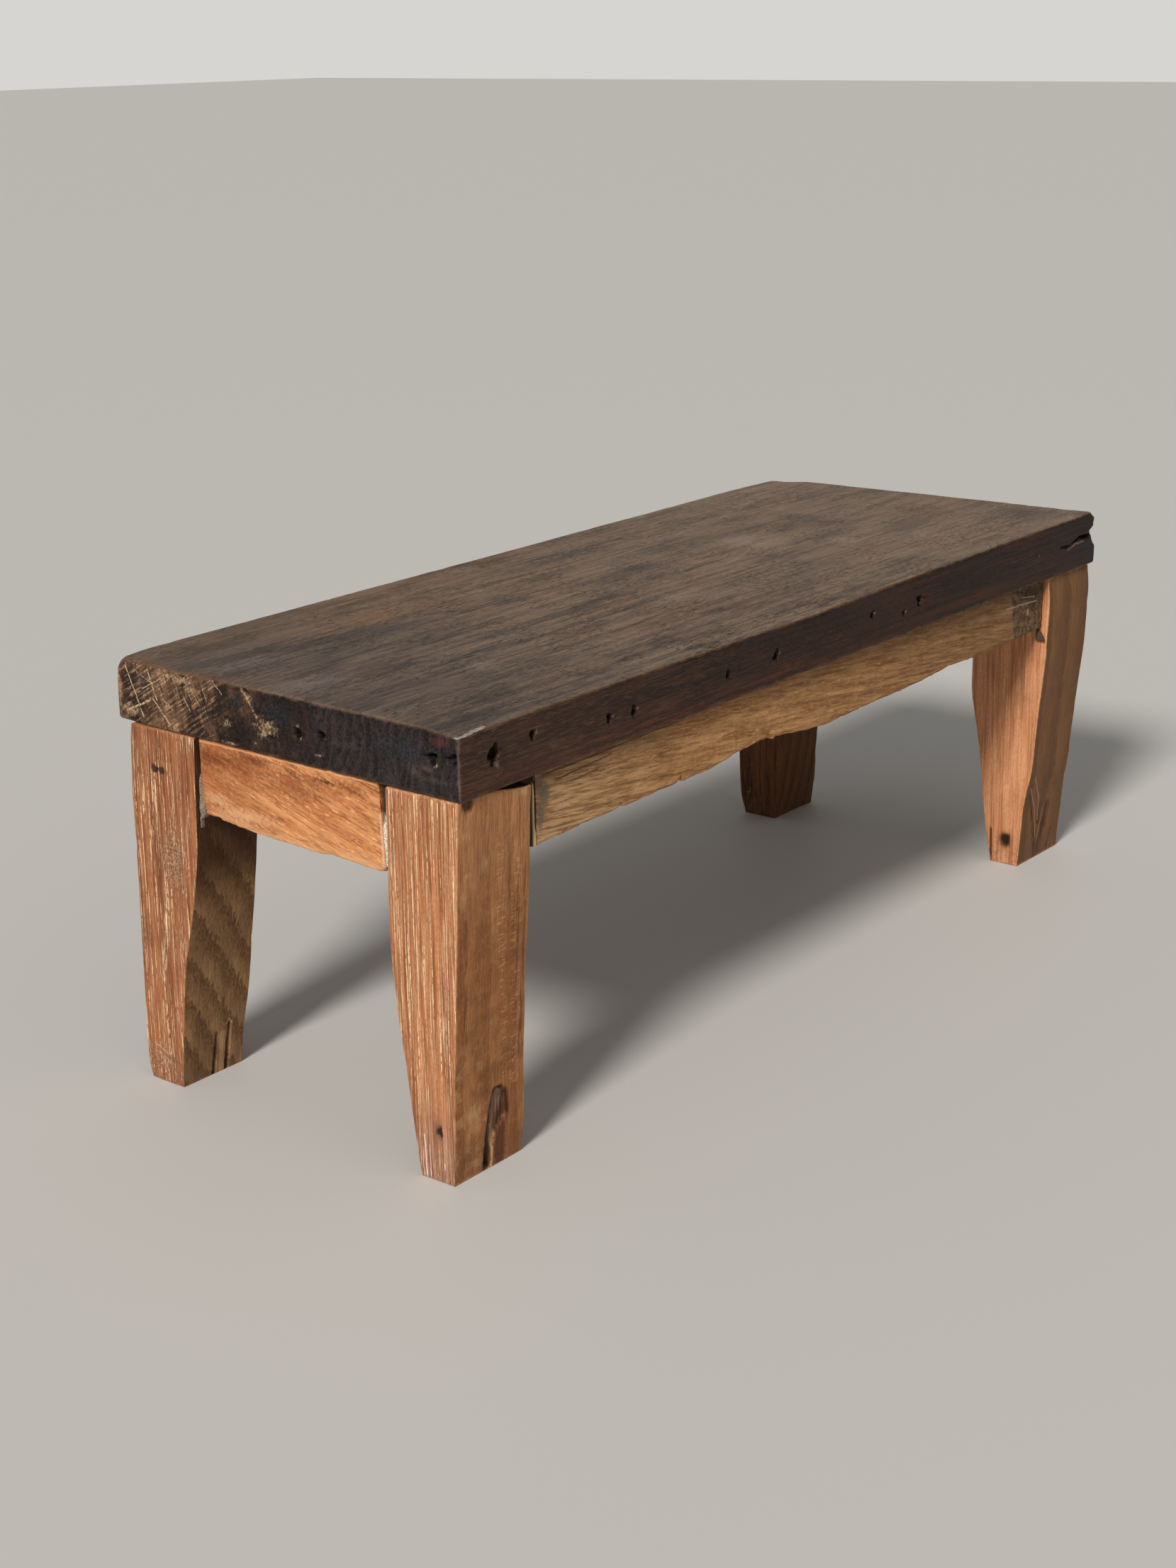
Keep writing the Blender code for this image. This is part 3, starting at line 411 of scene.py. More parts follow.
# %% Outlines of the legs' four sides, as shares of their height, width and depth
leg_outlines = {
    "leg_front_left": {
        "outer": [(0, 0.256), (0.1, 0.217), (0.26, 0.206), (0.41, 0.158), (0.8, 0.071), (1, 0.033)],
        "inner": [(0, 0.715), (0.1, 0.775), (0.27, 0.87), (0.39, 0.945), (0.5, 1.005), (0.57, 1.035),
                  (0.8, 1.02), (1, 1.01)],
        "end": [(0, 0.012), (0.03, 0.0), (1, 0.0)],
        "mid": [(0, 1.03), (0.21, 1.045), (0.46, 1.022), (0.6, 1.04), (0.78, 1.062), (1, 1.062)],
    },
    "leg_front_right": {
        "outer": [(0, 0.376), (0.22, 0.3), (0.33, 0.193), (0.56, 0.117), (0.73, 0.038),
                  (0.93, 0.005), (1, 0.04)],
        "inner": [(0, 0.803), (0.07, 0.869), (0.22, 0.958), (0.38, 1.029), (0.58, 1.18), (1, 1.18)],
        "end": [(0, 0.0), (0.2, 0.005), (0.3, 0.08), (0.42, 0.095), (0.55, 0.08), (0.9, 0.078),
                (1, 0.09)],
        "mid": [(0, 1.088), (0.7, 1.135), (0.8, 1.155), (1, 1.155)],
    },
    "leg_back_left": {
        "outer": [(0, 0.235), (0.04, 0.19), (0.55, 0.205), (0.72, 0.215), (0.81, 0.2),
                  (0.93, 0.23), (1, 0.25)],
        "inner": [(0, 0.753), (0.13, 0.802), (0.35, 0.91), (0.51, 1.08), (0.63, 1.18), (0.7, 1.225),
                  (0.8, 1.232), (1, 1.262)],
        "end": [(0, 0.012), (0.03, 0.0), (1, 0.045)],
        "mid": [(0, 0.864), (0.12, 0.897), (0.2, 0.948), (0.33, 0.979), (0.5, 0.921), (0.66, 0.888),
                (0.78, 0.9), (1, 0.9)],
    },
    "leg_back_right": {
        "outer": [(0, 0.233), (0.06, 0.19), (1, 0.126)],
        "inner": [(0, 0.767), (0.1, 0.86), (0.3, 0.98), (0.5, 1.12), (0.6, 1.191), (1, 1.191)],
        "end": [(0, 0.38), (0.08, 0.408), (0.15, 0.452), (0.3, 0.52), (0.5, 0.46), (0.75, 0.34),
                (1, 0.28)],
        "mid": [(0, 1.3), (0.06, 1.36), (0.23, 1.4), (0.6, 1.32), (0.75, 1.251), (1, 1.251)],
    },
}
print("legs:", ", ".join(leg_outlines))


# %% A leg's surface
def smoothed(line, reach):
    """Each value's mean with its neighbours on both sides, as far as reach."""
    return np.convolve(np.pad(line, reach, "edge"), np.ones(2 * reach + 1) / (2 * reach + 1), "valid")


def side_place(leg, side, height):
    """Where a leg's side stands at a height: its outline, smoothed over a few centimetres."""
    shares = np.linspace(0, 1, 201)
    places, ins = zip(*leg_outlines[leg][side])
    share = np.interp(height / LEG_HEIGHT, shares, smoothed(np.interp(shares, places, ins), 6))
    if side in ("end", "mid"):
        return (-1 if "left" in leg else 1) * (HALF_LENGTH - share * LEG_WIDTH)
    return (-1 if "front" in leg else 1) * (HALF_WIDTH - share * LEG_DEPTH)


def leg_surface(leg, seed, dents):
    """Box skin, rounded; then stretched between the four side outlines at each height; then
    dented by ridges along the grain, nicked arrises and the leg's own marks."""
    size = (LEG_WIDTH, LEG_DEPTH, LEG_HEIGHT)
    across = grid_lines(LEG_WIDTH, 0.0014, both_ends(LEG_WIDTH, 0.004, 0.001))
    deep = grid_lines(LEG_DEPTH, 0.0014, both_ends(LEG_DEPTH, 0.004, 0.001))
    up = grid_lines(LEG_HEIGHT, 0.0042, [(0.042, 0.042, 0.0022), (0, 0.005, 0.001),
                                         (LEG_HEIGHT, 0.004, 0.001)])
    caps = [(2, 0), (2, 1)]
    box, quads, flats = box_skin([across, deep, up], caps)
    wobble = noise(box, (0.03, 0.03, 0.05), seed, 2)
    points, facing = rounded(box, size, (0.9 + 2.0 * wobble) * MM, caps)
    arris = near_arris(box, size, 0.006)
    height, placed = points[:, 2], []
    for axis, sides in enumerate((("end", "mid"), ("outer", "inner"))):
        share = points[:, axis] / size[axis]
        low, high = sorted(sides, key=lambda side: side_place(leg, side, LEG_HEIGHT))
        placed.append(side_place(leg, low, height) * (1 - share) + side_place(leg, high, height) * share)
    points = np.stack([*placed, height], axis=1)
    on_end, on_long = faces(np.abs(facing[:, 0])), faces(np.abs(facing[:, 1]))
    groove = noise(points, (1, 0.0032, 0.09), seed + 1, 3) * on_end
    groove += noise(points, (0.005, 1, 0.11), seed + 2, 3) * on_long
    dent = 0.45 * MM * groove + 0.9 * MM * noise(points, (0.04, 0.04, 0.09), seed + 3, 2)
    nicks = smooth_step(noise(points, (0.01, 0.01, 0.024), seed + 4, 2), 0.6, 0.86)
    dent += 0.9 * MM * arris * nicks
    extra, hole, torn = dents(points, facing) if dents else np.zeros((3, len(points)))
    points = points - facing * (1, 1, 0) * (dent + extra)[:, None]
    paints = {"arris": arris, "hole": hole, "end_side": on_end, "long_side": on_long, "torn": torn}
    return points, quads, flats, paints


# %% [markdown]
# ### Each leg's own marks
# The near foot has a long split with a torn, dark hollow, and a small knot. The foot behind it
# has two narrow splits that start at the floor, and the right foot has a round black knot. Over
# the near leg the slab has lifted a little, so the leg's top slopes away and leaves a gap, and
# the leg's top in that gap is painted black as shade.

# %% Dents of the separate legs
torn_hollow = [(-0.5258, -0.004), (-0.5259, 0.0329), (-0.5236, 0.0456), (-0.5198, 0.0605),
               (-0.514, 0.0776), (-0.504, 0.0766), (-0.4985, 0.07), (-0.4966, 0.048), (-0.504, 0.039),
               (-0.5135, 0.032), (-0.5168, 0.012), (-0.5172, -0.004)]
torn_crack = [(-0.5215, -0.004), (-0.5222, 0.02), (-0.5215, 0.036), (-0.518, 0.058), (-0.5135, 0.0745),
              (-0.505, 0.0755)]
foot_splits = ([(-0.5272, -0.004), (-0.525, 0.018), (-0.5225, 0.042)],
               [(-0.5107, -0.004), (-0.5082, 0.025), (-0.506, 0.049)])
top_chip = [(-0.5618, 0.36), (-0.5454, 0.36), (-0.5454, 0.3522), (-0.555, 0.346), (-0.5618, 0.3559)]


def front_left_dents(points, facing):
    """The torn hollow, with a crack along its left edge, a chip under the slab, and a small knot.
    The crack, the chip and the hollow's upper rim are painted dark as shade; the knot is dark in its
    own colour.
    """
    x, y, z = points.T
    on_outer, on_end = faces(-facing[:, 1]), faces(-facing[:, 0])
    torn = hollow(x, z, torn_hollow, 0.0022) * on_outer
    fibres = noise(points, (0.0022, 1, 0.05), 61, 2)
    dent = torn * (2.2 + 2.8 * fibres) * MM
    away, run = line_distance(x, z, torn_crack)
    crack = on_outer * (1 - smooth_step(away, 0.0028 - 0.002 * run, 0.0068 - 0.0048 * run))
    dent += 4.6 * MM * crack * (1 - 0.6 * run)
    chip = hollow(x, z, top_chip, 0.0015) * on_outer
    knot = pit(y, z, (-0.1798, 0.0485), (0.0092, 0.0125), 2) * on_end
    dent += 2.4 * MM * chip + 2.6 * MM * knot
    # Painted shade along the hollow's upper rim.
    edge = line_distance(x, z, torn_hollow[3:8])[0]
    rim = 0.8 * on_outer * (1 - smooth_step(edge, 0.0006, 0.002)) * smooth_step(z, 0.034, 0.044)
    return dent, np.clip(crack + knot + 0.8 * chip + rim, 0, 1), torn


def back_left_dents(points, facing):
    """Two splits that rise from the floor, painted dark as shade, and two bruised, rough places on
    the end side.
    """
    x, y, z = points.T
    on_inner, on_end = faces(-facing[:, 1]), faces(-facing[:, 0])
    split = 0
    for line in foot_splits:
        away, run = line_distance(x, z, line)
        split = np.maximum(split, (1 - smooth_step(away, 0.0007, 0.0027 - 0.001 * run)) * on_inner)
    bruise = np.exp(-((y - 0.148) / 0.016) ** 2 - ((z - 0.235) / 0.035) ** 2) * on_end
    foot = np.exp(-((y - 0.18) / 0.017) ** 2 - ((z - 0.02) / 0.016) ** 2) * on_end
    rough = smooth_step(noise(points, 0.004, 71, 2), 0.35, 0.75)
    dent = 5.5 * MM * split + 1.3 * MM * (bruise + 1.5 * foot) * rough
    return dent, split, np.zeros(len(points))


def front_right_dents(points, facing):
    """A sunken knot near the floor, dark in its own colour, and a crack beside it that is painted
    dark as shade.
    """
    y, z = points.T[1:]
    on_mid = faces(-facing[:, 0])
    knot = pit(y, z, (-0.1681, 0.0305), (0.0145, 0.0185), 1) * on_mid
    away = line_distance(y, z, [(-0.1491, -0.004), (-0.1487, 0.02), (-0.1481, 0.041)])[0]
    crack = (1 - smooth_step(away, 0.0004, 0.002)) * on_mid
    return 2.2 * MM * knot + 3 * MM * crack, np.clip(crack + 0.75 * knot, 0, 1), np.zeros(len(points))


# %% Make the four legs
leg_dents = {"leg_front_left": front_left_dents, "leg_back_left": back_left_dents,
             "leg_front_right": front_right_dents}
for number, leg in enumerate(leg_outlines):
    points, quads, flats, paints = leg_surface(leg, 40 + 7 * number, leg_dents.get(leg))
    if leg == "leg_front_left":  # its top slopes away under the slab, and the gap is dark
        slope = smooth_step(points[:, 0], -0.53, -0.474) * smooth_step(points[:, 2], 0.33, LEG_HEIGHT)
        # The leg's top in the gap under the slab is painted black as shade.
        under_gap = points[:, 2] > LEG_HEIGHT - 0.0004
        paints["hole"] = np.where(under_gap, smooth_step(points[:, 0], -0.519, -0.505), paints["hole"])
        points[:, 2] -= 0.007 * slope
    make_piece(leg, "_worn", leg + "_wood", points, quads, flats, paints)

# %% [markdown]
# ## The rails
# The rails under the seat, which a joiner calls aprons, are roughly sawn boards. Their lower
# edges wander by a centimetre, with chips where the saw or a knot tore the wood. Each one has a
# tenon at either end that hides in its leg. The rail is the box skin again, this time with its
# bottom moved up and down along its length, and the tenons are small boxes in the same mesh.

# %% Lower edges of the rails, as shares of their length and in millimetres
rail_waves = {
    "apron_front": [
        (0, -2.7), (0.08, -0.4), (0.15, 0.5), (0.24, 1.0), (0.28, 0.2), (0.34, 8.1), (0.36, 7.9),
        (0.385, 10.0), (0.42, 5.3), (0.455, 2.0), (0.49, -1.8), (0.55, -0.6), (0.63, 0.5),
        (0.72, 1.8), (0.77, 6.3), (0.82, 4.9), (0.9, 4.3), (1, 6.5)],
    "apron_back": [
        (0, 4), (0.09, 1), (0.21, 3), (0.3, 9), (0.36, 7), (0.47, 1), (0.58, 0), (0.7, 2.5),
        (0.79, 1), (0.88, 5), (1, 2)],
    "apron_left": [(0, -3.2), (0.24, -1.2), (0.5, -0.5), (0.68, 0.5), (0.84, 3.6), (1, 7.7)],
    "apron_right": [(0, 3), (0.2, 0), (0.45, -2), (0.7, 1), (0.88, 4.5), (1, 3)],
}
print("rails:", ", ".join(rail_waves))


# %% A rail's surface
def rail_surface(rail, start, end, low_face, seed, lean=0.0, chips=()):
    """Box skin along its own length, rounded; its bottom follows the wave, its two wide sides are
    dented by saw marks and grain; then it is laid along X or Y."""
    along_x = rail in LONG_RAILS
    length, deep, step = end - start, *((LONG_RAIL_DEEP, 0.003) if along_x else (END_RAIL_DEEP, 0.002))
    size = (length, RAIL_THICK, deep)
    around_chips = [(place - start, 0.007, 0.001) for place, loss in chips]
    along = grid_lines(length, step, around_chips + both_ends(length, 0.002, 0.001))
    across = grid_lines(RAIL_THICK, 0.0028, both_ends(RAIL_THICK, 0.005, 0.0011))
    up = grid_lines(deep, 0.0019, [(0, 0.005, 0.001), (deep, 0.004, 0.001)])
    ends = [(0, 0), (0, 1)]
    box, quads, flats = box_skin([along, across, up], ends)
    lower = 1 - smooth_step(box[:, 2], 0, 0.02)
    wobble = noise(box, (0.03, 0.02, 0.02), seed, 2)
    points, facing = rounded(box, size, (0.9 + (1.2 + 2.6 * lower) * wobble) * MM, ends)
    arris = near_arris(box, size, 0.007)
    places, rises = zip(*rail_waves[rail])
    fine = np.linspace(0, 1, 401)
    rise = np.interp(points[:, 0] / length, fine, smoothed(np.interp(fine, places, rises), 4)) * MM
    rise += 1.8 * MM * (noise(points * (1, 0, 0), (0.013, 1, 1), seed + 1, 3) - 0.5)
    for place, loss in chips:
        rise += loss * (1 - smooth_step(np.abs(points[:, 0] - (place - start)), 0.0008, 0.0045))
    z = RAIL_TOP - deep + points[:, 2] + rise * (1 - points[:, 2] / deep)
    out_facing = faces(facing[:, 1]) + faces(-facing[:, 1])
    grain = noise(np.stack([points[:, 0], points[:, 1], z], 1), (0.05, 0.02, 0.0028), seed + 2, 3)
    dent = 0.8 * MM * out_facing * grain + 0.9 * MM * noise(points, (0.06, 0.03, 0.03), seed + 3, 2)
    nicks = smooth_step(noise(points, (0.014, 0.008, 0.008), seed + 4, 2), 0.58, 0.84)
    dent += 2 * MM * arris * nicks * (0.3 + 0.7 * lower)
    points = points - facing * dent[:, None] * (1, 1, 0)
    z = z + np.maximum(-facing[:, 2], 0) * dent * 0.6
    across_place = low_face + points[:, 1]
    along_place = start + points[:, 0] - lean * (1 - points[:, 0] / length) * (RAIL_TOP - z) / deep
    paints = {"arris": arris, "hole": np.zeros(len(points)), "torn": arris * lower * nicks,
              "end_side": np.zeros(len(points)), "long_side": out_facing}
    if along_x:
        return np.stack([along_place, across_place, z], 1), quads, flats, paints
    points = np.stack([across_place, along_place, z], 1)
    return points, quads[:, ::-1], [ring[::-1] for ring in flats], paints


# %% Tenons and shoulders
TENON_THICK, TENON_HIGH, TENON_ROOT, TENON_DROP = 0.012, 0.045, 0.008, 0.055


def with_tenons(rail, points, quads, flats, paints):
    """Adds the two tenons, as boxes rooted in the rail that reach as far as the solid's do."""
    axis = 0 if rail in LONG_RAILS else 1
    low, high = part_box(rail)
    middle = (points[:, 1 - axis].min() + points[:, 1 - axis].max()) / 2
    body = points[:, axis].min(), points[:, axis].max()
    for inner, tip in ((body[0] + TENON_ROOT, low[axis]), (body[1] - TENON_ROOT, high[axis])):
        near, far = sorted((inner, tip))
        size, corner = [far - near, TENON_THICK], [near, middle - TENON_THICK / 2]
        if axis == 1:
            size, corner = size[::-1], corner[::-1]
        size.append(TENON_HIGH)
        extra, extra_quads = box_skin([grid_lines(side, 0.011) for side in size])[:2]
        extra = rounded(extra, size, 0.001)[0] + [*corner, RAIL_TOP - TENON_DROP]
        quads = np.concatenate([quads, extra_quads + len(points)])
        points = np.concatenate([points, extra])
        paints = {label: np.append(values, np.zeros(len(extra))) for label, values in paints.items()}
    return points, quads, flats, paints


def shoulders(side, low, *legs):
    """Where a rail's shoulders stand: at its legs' sides, as narrow as they get above its lower edge."""
    heights = np.linspace(low, LEG_HEIGHT, 12)
    return [min(side_place(leg, side, heights), key=abs) for leg in legs]


# %% [markdown]
# ### Setting the rails between the legs
# The left rail is too short for its place, so grey filler stands between its shoulders and the
# legs. The front rail has a thin sliver of wood beside its left shoulder. Where a rail meets a
# leg itself, it goes a fraction of a millimetre into it, so no light shows through the joint.

# %% Make the four rails
LEFT_RAIL_START, LEFT_RAIL_END, LEFT_RAIL_LEAN = -0.118, 0.1072, 0.0042
INTO_LEG = 0.0005
front_chips = [(-0.3362, 0.0032), (-0.2445, 0.0045), (-0.099, 0.004), (-0.091, -0.002)]
[front_end] = shoulders("mid", 0.28, "leg_front_right")
back_start, back_end = shoulders("mid", 0.28, "leg_back_left", "leg_back_right")
left_start, left_end = shoulders("inner", 0.27, "leg_front_left", "leg_back_left")
right_start, right_end = shoulders("inner", 0.27, "leg_front_right", "leg_back_right")
# A rail's start, end, lower face across its thickness, seed, lean of its left end, and chips.
rail_places = {
    "apron_front": (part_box("shim_front_left")[1][0], front_end + INTO_LEG, -0.209, 101, 0.0, front_chips),
    "apron_back": (back_start - INTO_LEG, back_end + INTO_LEG, 0.1888 - RAIL_THICK, 111),
    "apron_left": (LEFT_RAIL_START, LEFT_RAIL_END, -0.5606, 121, LEFT_RAIL_LEAN),
    "apron_right": (right_start - INTO_LEG, right_end + INTO_LEG, 0.5348 - RAIL_THICK, 131),
}
for rail, place in rail_places.items():
    make_piece(rail, "_sawn", rail + "_wood", *with_tenons(rail, *rail_surface(rail, *place)))

# %% [markdown]
# ## Fillers, sliver and plug
# The gaps at the left rail were packed with grey filler, smeared on with a knife. It is lumpy
# and a little proud in some places and sunken in others. The sliver beside the front rail is a
# thin offcut, and a lump of putty hangs under the front rail's right end. All of them are small
# rounded boxes with lumps from the noise.

# %% Small packing pieces
def lump(node, ending, slot, size, corner, seed, rough, bend, soft=0.22):
    """A rounded box, dented all over by noise to the depth rough, then bent by its own shape function."""
    size = np.asarray(size, float)
    fine = min(size.min() / 9, 0.0009)
    box, quads, flats = box_skin([grid_lines(side, max(fine, side / 60)) for side in size])
    points, facing = rounded(box, size, size.min() * soft)
    dent = rough * noise(points, (0.006, 0.006, 0.009), seed, 3)
    points = points - facing * dent[:, None]
    points = bend(points, points / size)
    paints = {"arris": near_arris(box, size, 0.002), "hole": np.zeros(len(points)),
              "end_side": np.zeros(len(points)), "long_side": np.ones(len(points))}
    make_piece(node, ending, slot, points + corner, quads, flats, paints)


def front_filler_shape(points, shares):
    """Its far side follows the rail's leaning end, and its face sinks in at the top."""
    lower = 1 - shares[:, 2]
    x = points[:, 0] + 0.003 * (1 - shares[:, 0]) * smooth_step(shares[:, 2], 0.45, 0.6)
    y = points[:, 1] - LEFT_RAIL_LEAN * lower * shares[:, 1]
    return np.stack([x, y, points[:, 2]], 1)


def back_filler_shape(points, shares):
    """Sunk in at the top, with a lump at the rail's lower corner and a thin smear below that."""
    height = points[:, 2]
    thin = 1 - 0.88 * (1 - smooth_step(height, 0.0095, 0.0125))
    x = points[:, 0] * thin + 0.0035 * (1 - shares[:, 0]) * smooth_step(height, 0.045, 0.055)
    bulge = np.exp(-((height - 0.0195) / 0.0065) ** 2)
    x = x - 0.0016 * bulge * (1 - shares[:, 0])
    below = 1 - smooth_step(height, 0.008, 0.014)
    y = points[:, 1] + (0.0042 * below - 0.0045 * bulge) * (1 - shares[:, 1])
    return np.stack([x, y, height], 1)


def sliver_shape(points, shares):
    """Sunk in beside the leg and along the open joint on its right, so that a thin edge stands out."""
    x, height = points[:, 0], points[:, 2]
    beside_leg = 1 - smooth_step(x, 0.0104, 0.0112)
    joint = smooth_step(x, 0.0128, 0.0136) * smooth_step(height, 0.012, 0.03)
    y = points[:, 1] + 0.004 * (1 - shares[:, 1]) * np.maximum(beside_leg, joint)
    return np.stack([x, y, height], 1)


def plug_shape(points, shares):
    """A wedge: the higher it is, the closer it keeps to the corner of the leg and the rail."""
    x, y, height = points.T
    return np.stack([x + 0.6 * (x.max() - x) * shares[:, 2],
                     y + 0.85 * (y.max() - y) * shares[:, 2] ** 1.5, height * 0.95 + 0.0004], 1)


lump("filler_left_front", "_smeared", "filler_grey",
     (RAIL_THICK, LEFT_RAIL_START - left_start + 0.003, 0.0775),
     (-0.5602, left_start - 0.002, RAIL_TOP - 0.078), 151, 0.001, front_filler_shape)
lump("filler_left_back", "_smeared", "filler_grey",
     (RAIL_THICK, left_end - LEFT_RAIL_END + 0.0035, 0.087),
     (-0.56, LEFT_RAIL_END - 0.0015, RAIL_TOP - 0.0875), 152, 0.001, back_filler_shape)
for node, ending, slot, *how in (
        ("shim_front_left", "_split", "shim_wood", 161, 0.0004, sliver_shape, 0.06),
        ("plug_front_right", "_pressed", "plug_putty", 171, 0.0012, plug_shape, 0.42)):
    low, high = [np.array(corner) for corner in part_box(node)]
    lump(node, ending, slot, high - low, low, *how)

# %% [markdown]
# ## Shader groups
# Wood needs the same few patterns again and again: streaks along the grain, growth rings, soft
# stains, placed lines and spots, and rubbed arrises. Each is a node group with named inputs, made
# once and used in many finishes with other values. All of them read metres in the bench's own
# frame, so the grain runs through a piece and doesn't slide.

# %% Helpers that add nodes
def srgb(red, green, blue):
    """A colour as picked on a screen, 0 to 255, turned into the linear numbers that nodes need."""
    shares = [value / 255 for value in (red, green, blue)]
    linear = [share / 12.92 if share <= 0.04045 else ((share + 0.055) / 1.055) ** 2.4 for share in shares]
    return (*linear, 1.0)


class Graph:
    """Short calls that add nodes to one node tree and join them up."""

    def __init__(self, tree):
        self.tree = tree

    def add(self, kind, settings=None, **sockets):
        """A node with its settings, and its inputs by name, with _ for a space, or by number as i0."""
        node = self.tree.nodes.new(kind)
        for label, value in (settings or {}).items():
            setattr(node, label, value)
        for label, value in sockets.items():
            place = int(label[1:]) if label[0] == "i" and label[1:].isdigit() else label.replace("_", " ")
            self.join(value, node.inputs[place])
        return node

    def join(self, value, socket):
        """Links a socket, or sets a plain value. A colour of three numbers is a screen colour."""
        if isinstance(value, bpy.types.NodeSocket):
            self.tree.links.new(value, socket)
        elif socket.type == "RGBA" and len(value) == 3:
            socket.default_value = srgb(*value)
        else:
            socket.default_value = value

    def math(self, operation, first, second=0.0, clamp=False):
        return self.add("ShaderNodeMath", {"operation": operation, "use_clamp": clamp},
                        i0=first, i1=second).outputs[0]

    def plus(self, first, second):
        return self.math("ADD", first, second)

    def minus(self, first, second):
        return self.math("SUBTRACT", first, second)

    def times(self, product, *others):
        """The product of several masks and numbers."""
        for other in others:
            product = self.math("MULTIPLY", product, other)
        return product

    def most(self, largest, *others):
        """The largest of several masks."""
        for other in others:
            largest = self.math("MAXIMUM", largest, other)
        return largest

    def swing(self, value, size):
        """A noise from 0 to 1, turned into a swing of that size round 0."""
        return self.times(self.minus(value, 0.5), size)

    def vector(self, operation, first, second):
        node = self.add("ShaderNodeVectorMath", {"operation": operation}, i0=first, i1=second)
        return node.outputs["Value" if operation in ("DOT_PRODUCT", "LENGTH", "DISTANCE") else "Vector"]

    def scale(self, vector, factor):
        return self.add("ShaderNodeVectorMath", {"operation": "SCALE"}, i0=vector, Scale=factor).outputs[0]

    def combine(self, x, y, z):
        return self.add("ShaderNodeCombineXYZ", X=x, Y=y, Z=z).outputs[0]

    def noise(self, vector, scale=1.0, detail=2.0, rough=0.5):
        return self.add("ShaderNodeTexNoise", Vector=vector, Scale=scale, Detail=detail,
                        Roughness=rough).outputs["Fac"]

    def between(self, value, low, high, to_low=0.0, to_high=1.0):
        """An S-curve from to_low at low to to_high at high."""
        return self.add("ShaderNodeMapRange", {"interpolation_type": "SMOOTHSTEP"}, Value=value,
                        From_Min=low, From_Max=high, To_Min=to_low, To_Max=to_high).outputs["Result"]

    def mix(self, share, first, second):
        """Two colours mixed by a share."""
        return self.add("ShaderNodeMix", {"data_type": "RGBA"}, i0=share, i6=first, i7=second).outputs[2]

    def coats(self, colour, *rows):
        """Coats over a colour. A row is the coat's tint, then what its thickness is the product of."""
        for tint, *thickness in rows:
            colour = self.mix(self.times(*thickness), colour, tint)
        return colour

    def use(self, name, **sockets):
        """Places a finished group and returns its outputs."""
        return self.add("ShaderNodeGroup", {"node_tree": bpy.data.node_groups[name]}, **sockets).outputs


def new_group(name, inputs, *outputs):
    """An empty node group. inputs gives each input's default; a default of three numbers is a vector."""
    tree = bpy.data.node_groups.new(name, "ShaderNodeTree")
    for label, default in inputs.items():
        kind = "NodeSocketVector" if isinstance(default, tuple) else "NodeSocketFloat"
        tree.interface.new_socket(label, in_out="INPUT", socket_type=kind).default_value = default
    for label in outputs:
        tree.interface.new_socket(label, in_out="OUTPUT", socket_type="NodeSocketFloat")
    graph = Graph(tree)
    return graph, graph.add("NodeGroupInput").outputs, graph.add("NodeGroupOutput").inputs


print("mid grey on a screen is", round(srgb(128, 128, 128)[0], 3), "to the nodes")

# %% Streaks and rings
ORIGIN = (0.0, 0.0, 0.0)
g, i, o = new_group("grain streaks", {"Point": ORIGIN, "Across": 900.0, "Along": 12.0, "Low": 0.5,
                                      "High": 0.7, "Seed": 0.0}, "Mask", "Value")
# The first coordinate runs along the grain. Stretching it turns round noise into long streaks.
stretch = g.combine(i["Along"], i["Across"], i["Across"])
moved = g.vector("ADD", g.vector("MULTIPLY", i["Point"], stretch), g.combine(*[i["Seed"]] * 3))
value = g.noise(moved, 1.0, 3.0, 0.6)
g.join(value, o["Value"])
g.join(g.between(value, i["Low"], i["High"]), o["Mask"])

g, i, o = new_group("growth rings", {
    "Point": ORIGIN, "Across": (0.0, 1.0, 0.0), "Spacing": 0.006, "Wander": 0.01, "Wander size": 0.12,
    "Jagged": 0.0, "Seed": 0.0}, "Ring", "Late")
# Distance across the rings, made wavy, then cut into a sawtooth: each ring darkens to its edge.
coarse = g.vector("MULTIPLY", i["Point"], g.combine(0.35, 1.0, 1.0))
place = g.scale(coarse, g.math("DIVIDE", 1.0, i["Wander size"]))
wave = g.minus(g.noise(g.vector("ADD", place, g.combine(*[i["Seed"]] * 3)), 1.0, 2.0), 0.5)
away = g.plus(g.vector("DOT_PRODUCT", i["Point"], i["Across"]), g.times(wave, i["Wander"]))
fibres = g.noise(g.vector("MULTIPLY", i["Point"], (45.0, 420.0, 420.0)), 1.0, 2.0, 0.6)
away = g.plus(away, g.swing(fibres, i["Jagged"]))
ring = g.math("FRACT", g.math("DIVIDE", g.plus(away, 5.0), i["Spacing"]))
g.join(ring, o["Ring"])
g.join(g.times(g.between(ring, 0.35, 0.86), g.between(ring, 1.0, 0.93)), o["Late"])
print("groups:", [group.name for group in bpy.data.node_groups])

# %% Stains, placed lines, placed spots and rubbed arrises
g, i, o = new_group("soft stains", {"Point": ORIGIN, "Size": 0.1, "Low": 0.5, "High": 0.7,
                                    "Seed": 0.0}, "Mask")
place = g.vector("ADD", g.scale(i["Point"], g.math("DIVIDE", 1.0, i["Size"])), g.combine(*[i["Seed"]] * 3))
g.join(g.between(g.noise(place, 1.0, 4.0, 0.55), i["Low"], i["High"]), o["Mask"])

g, i, o = new_group("line mark", {"Point": ORIGIN, "Start": ORIGIN, "End": (0.0, 0.0, 0.01),
                                  "Width": 0.001}, "Mask")
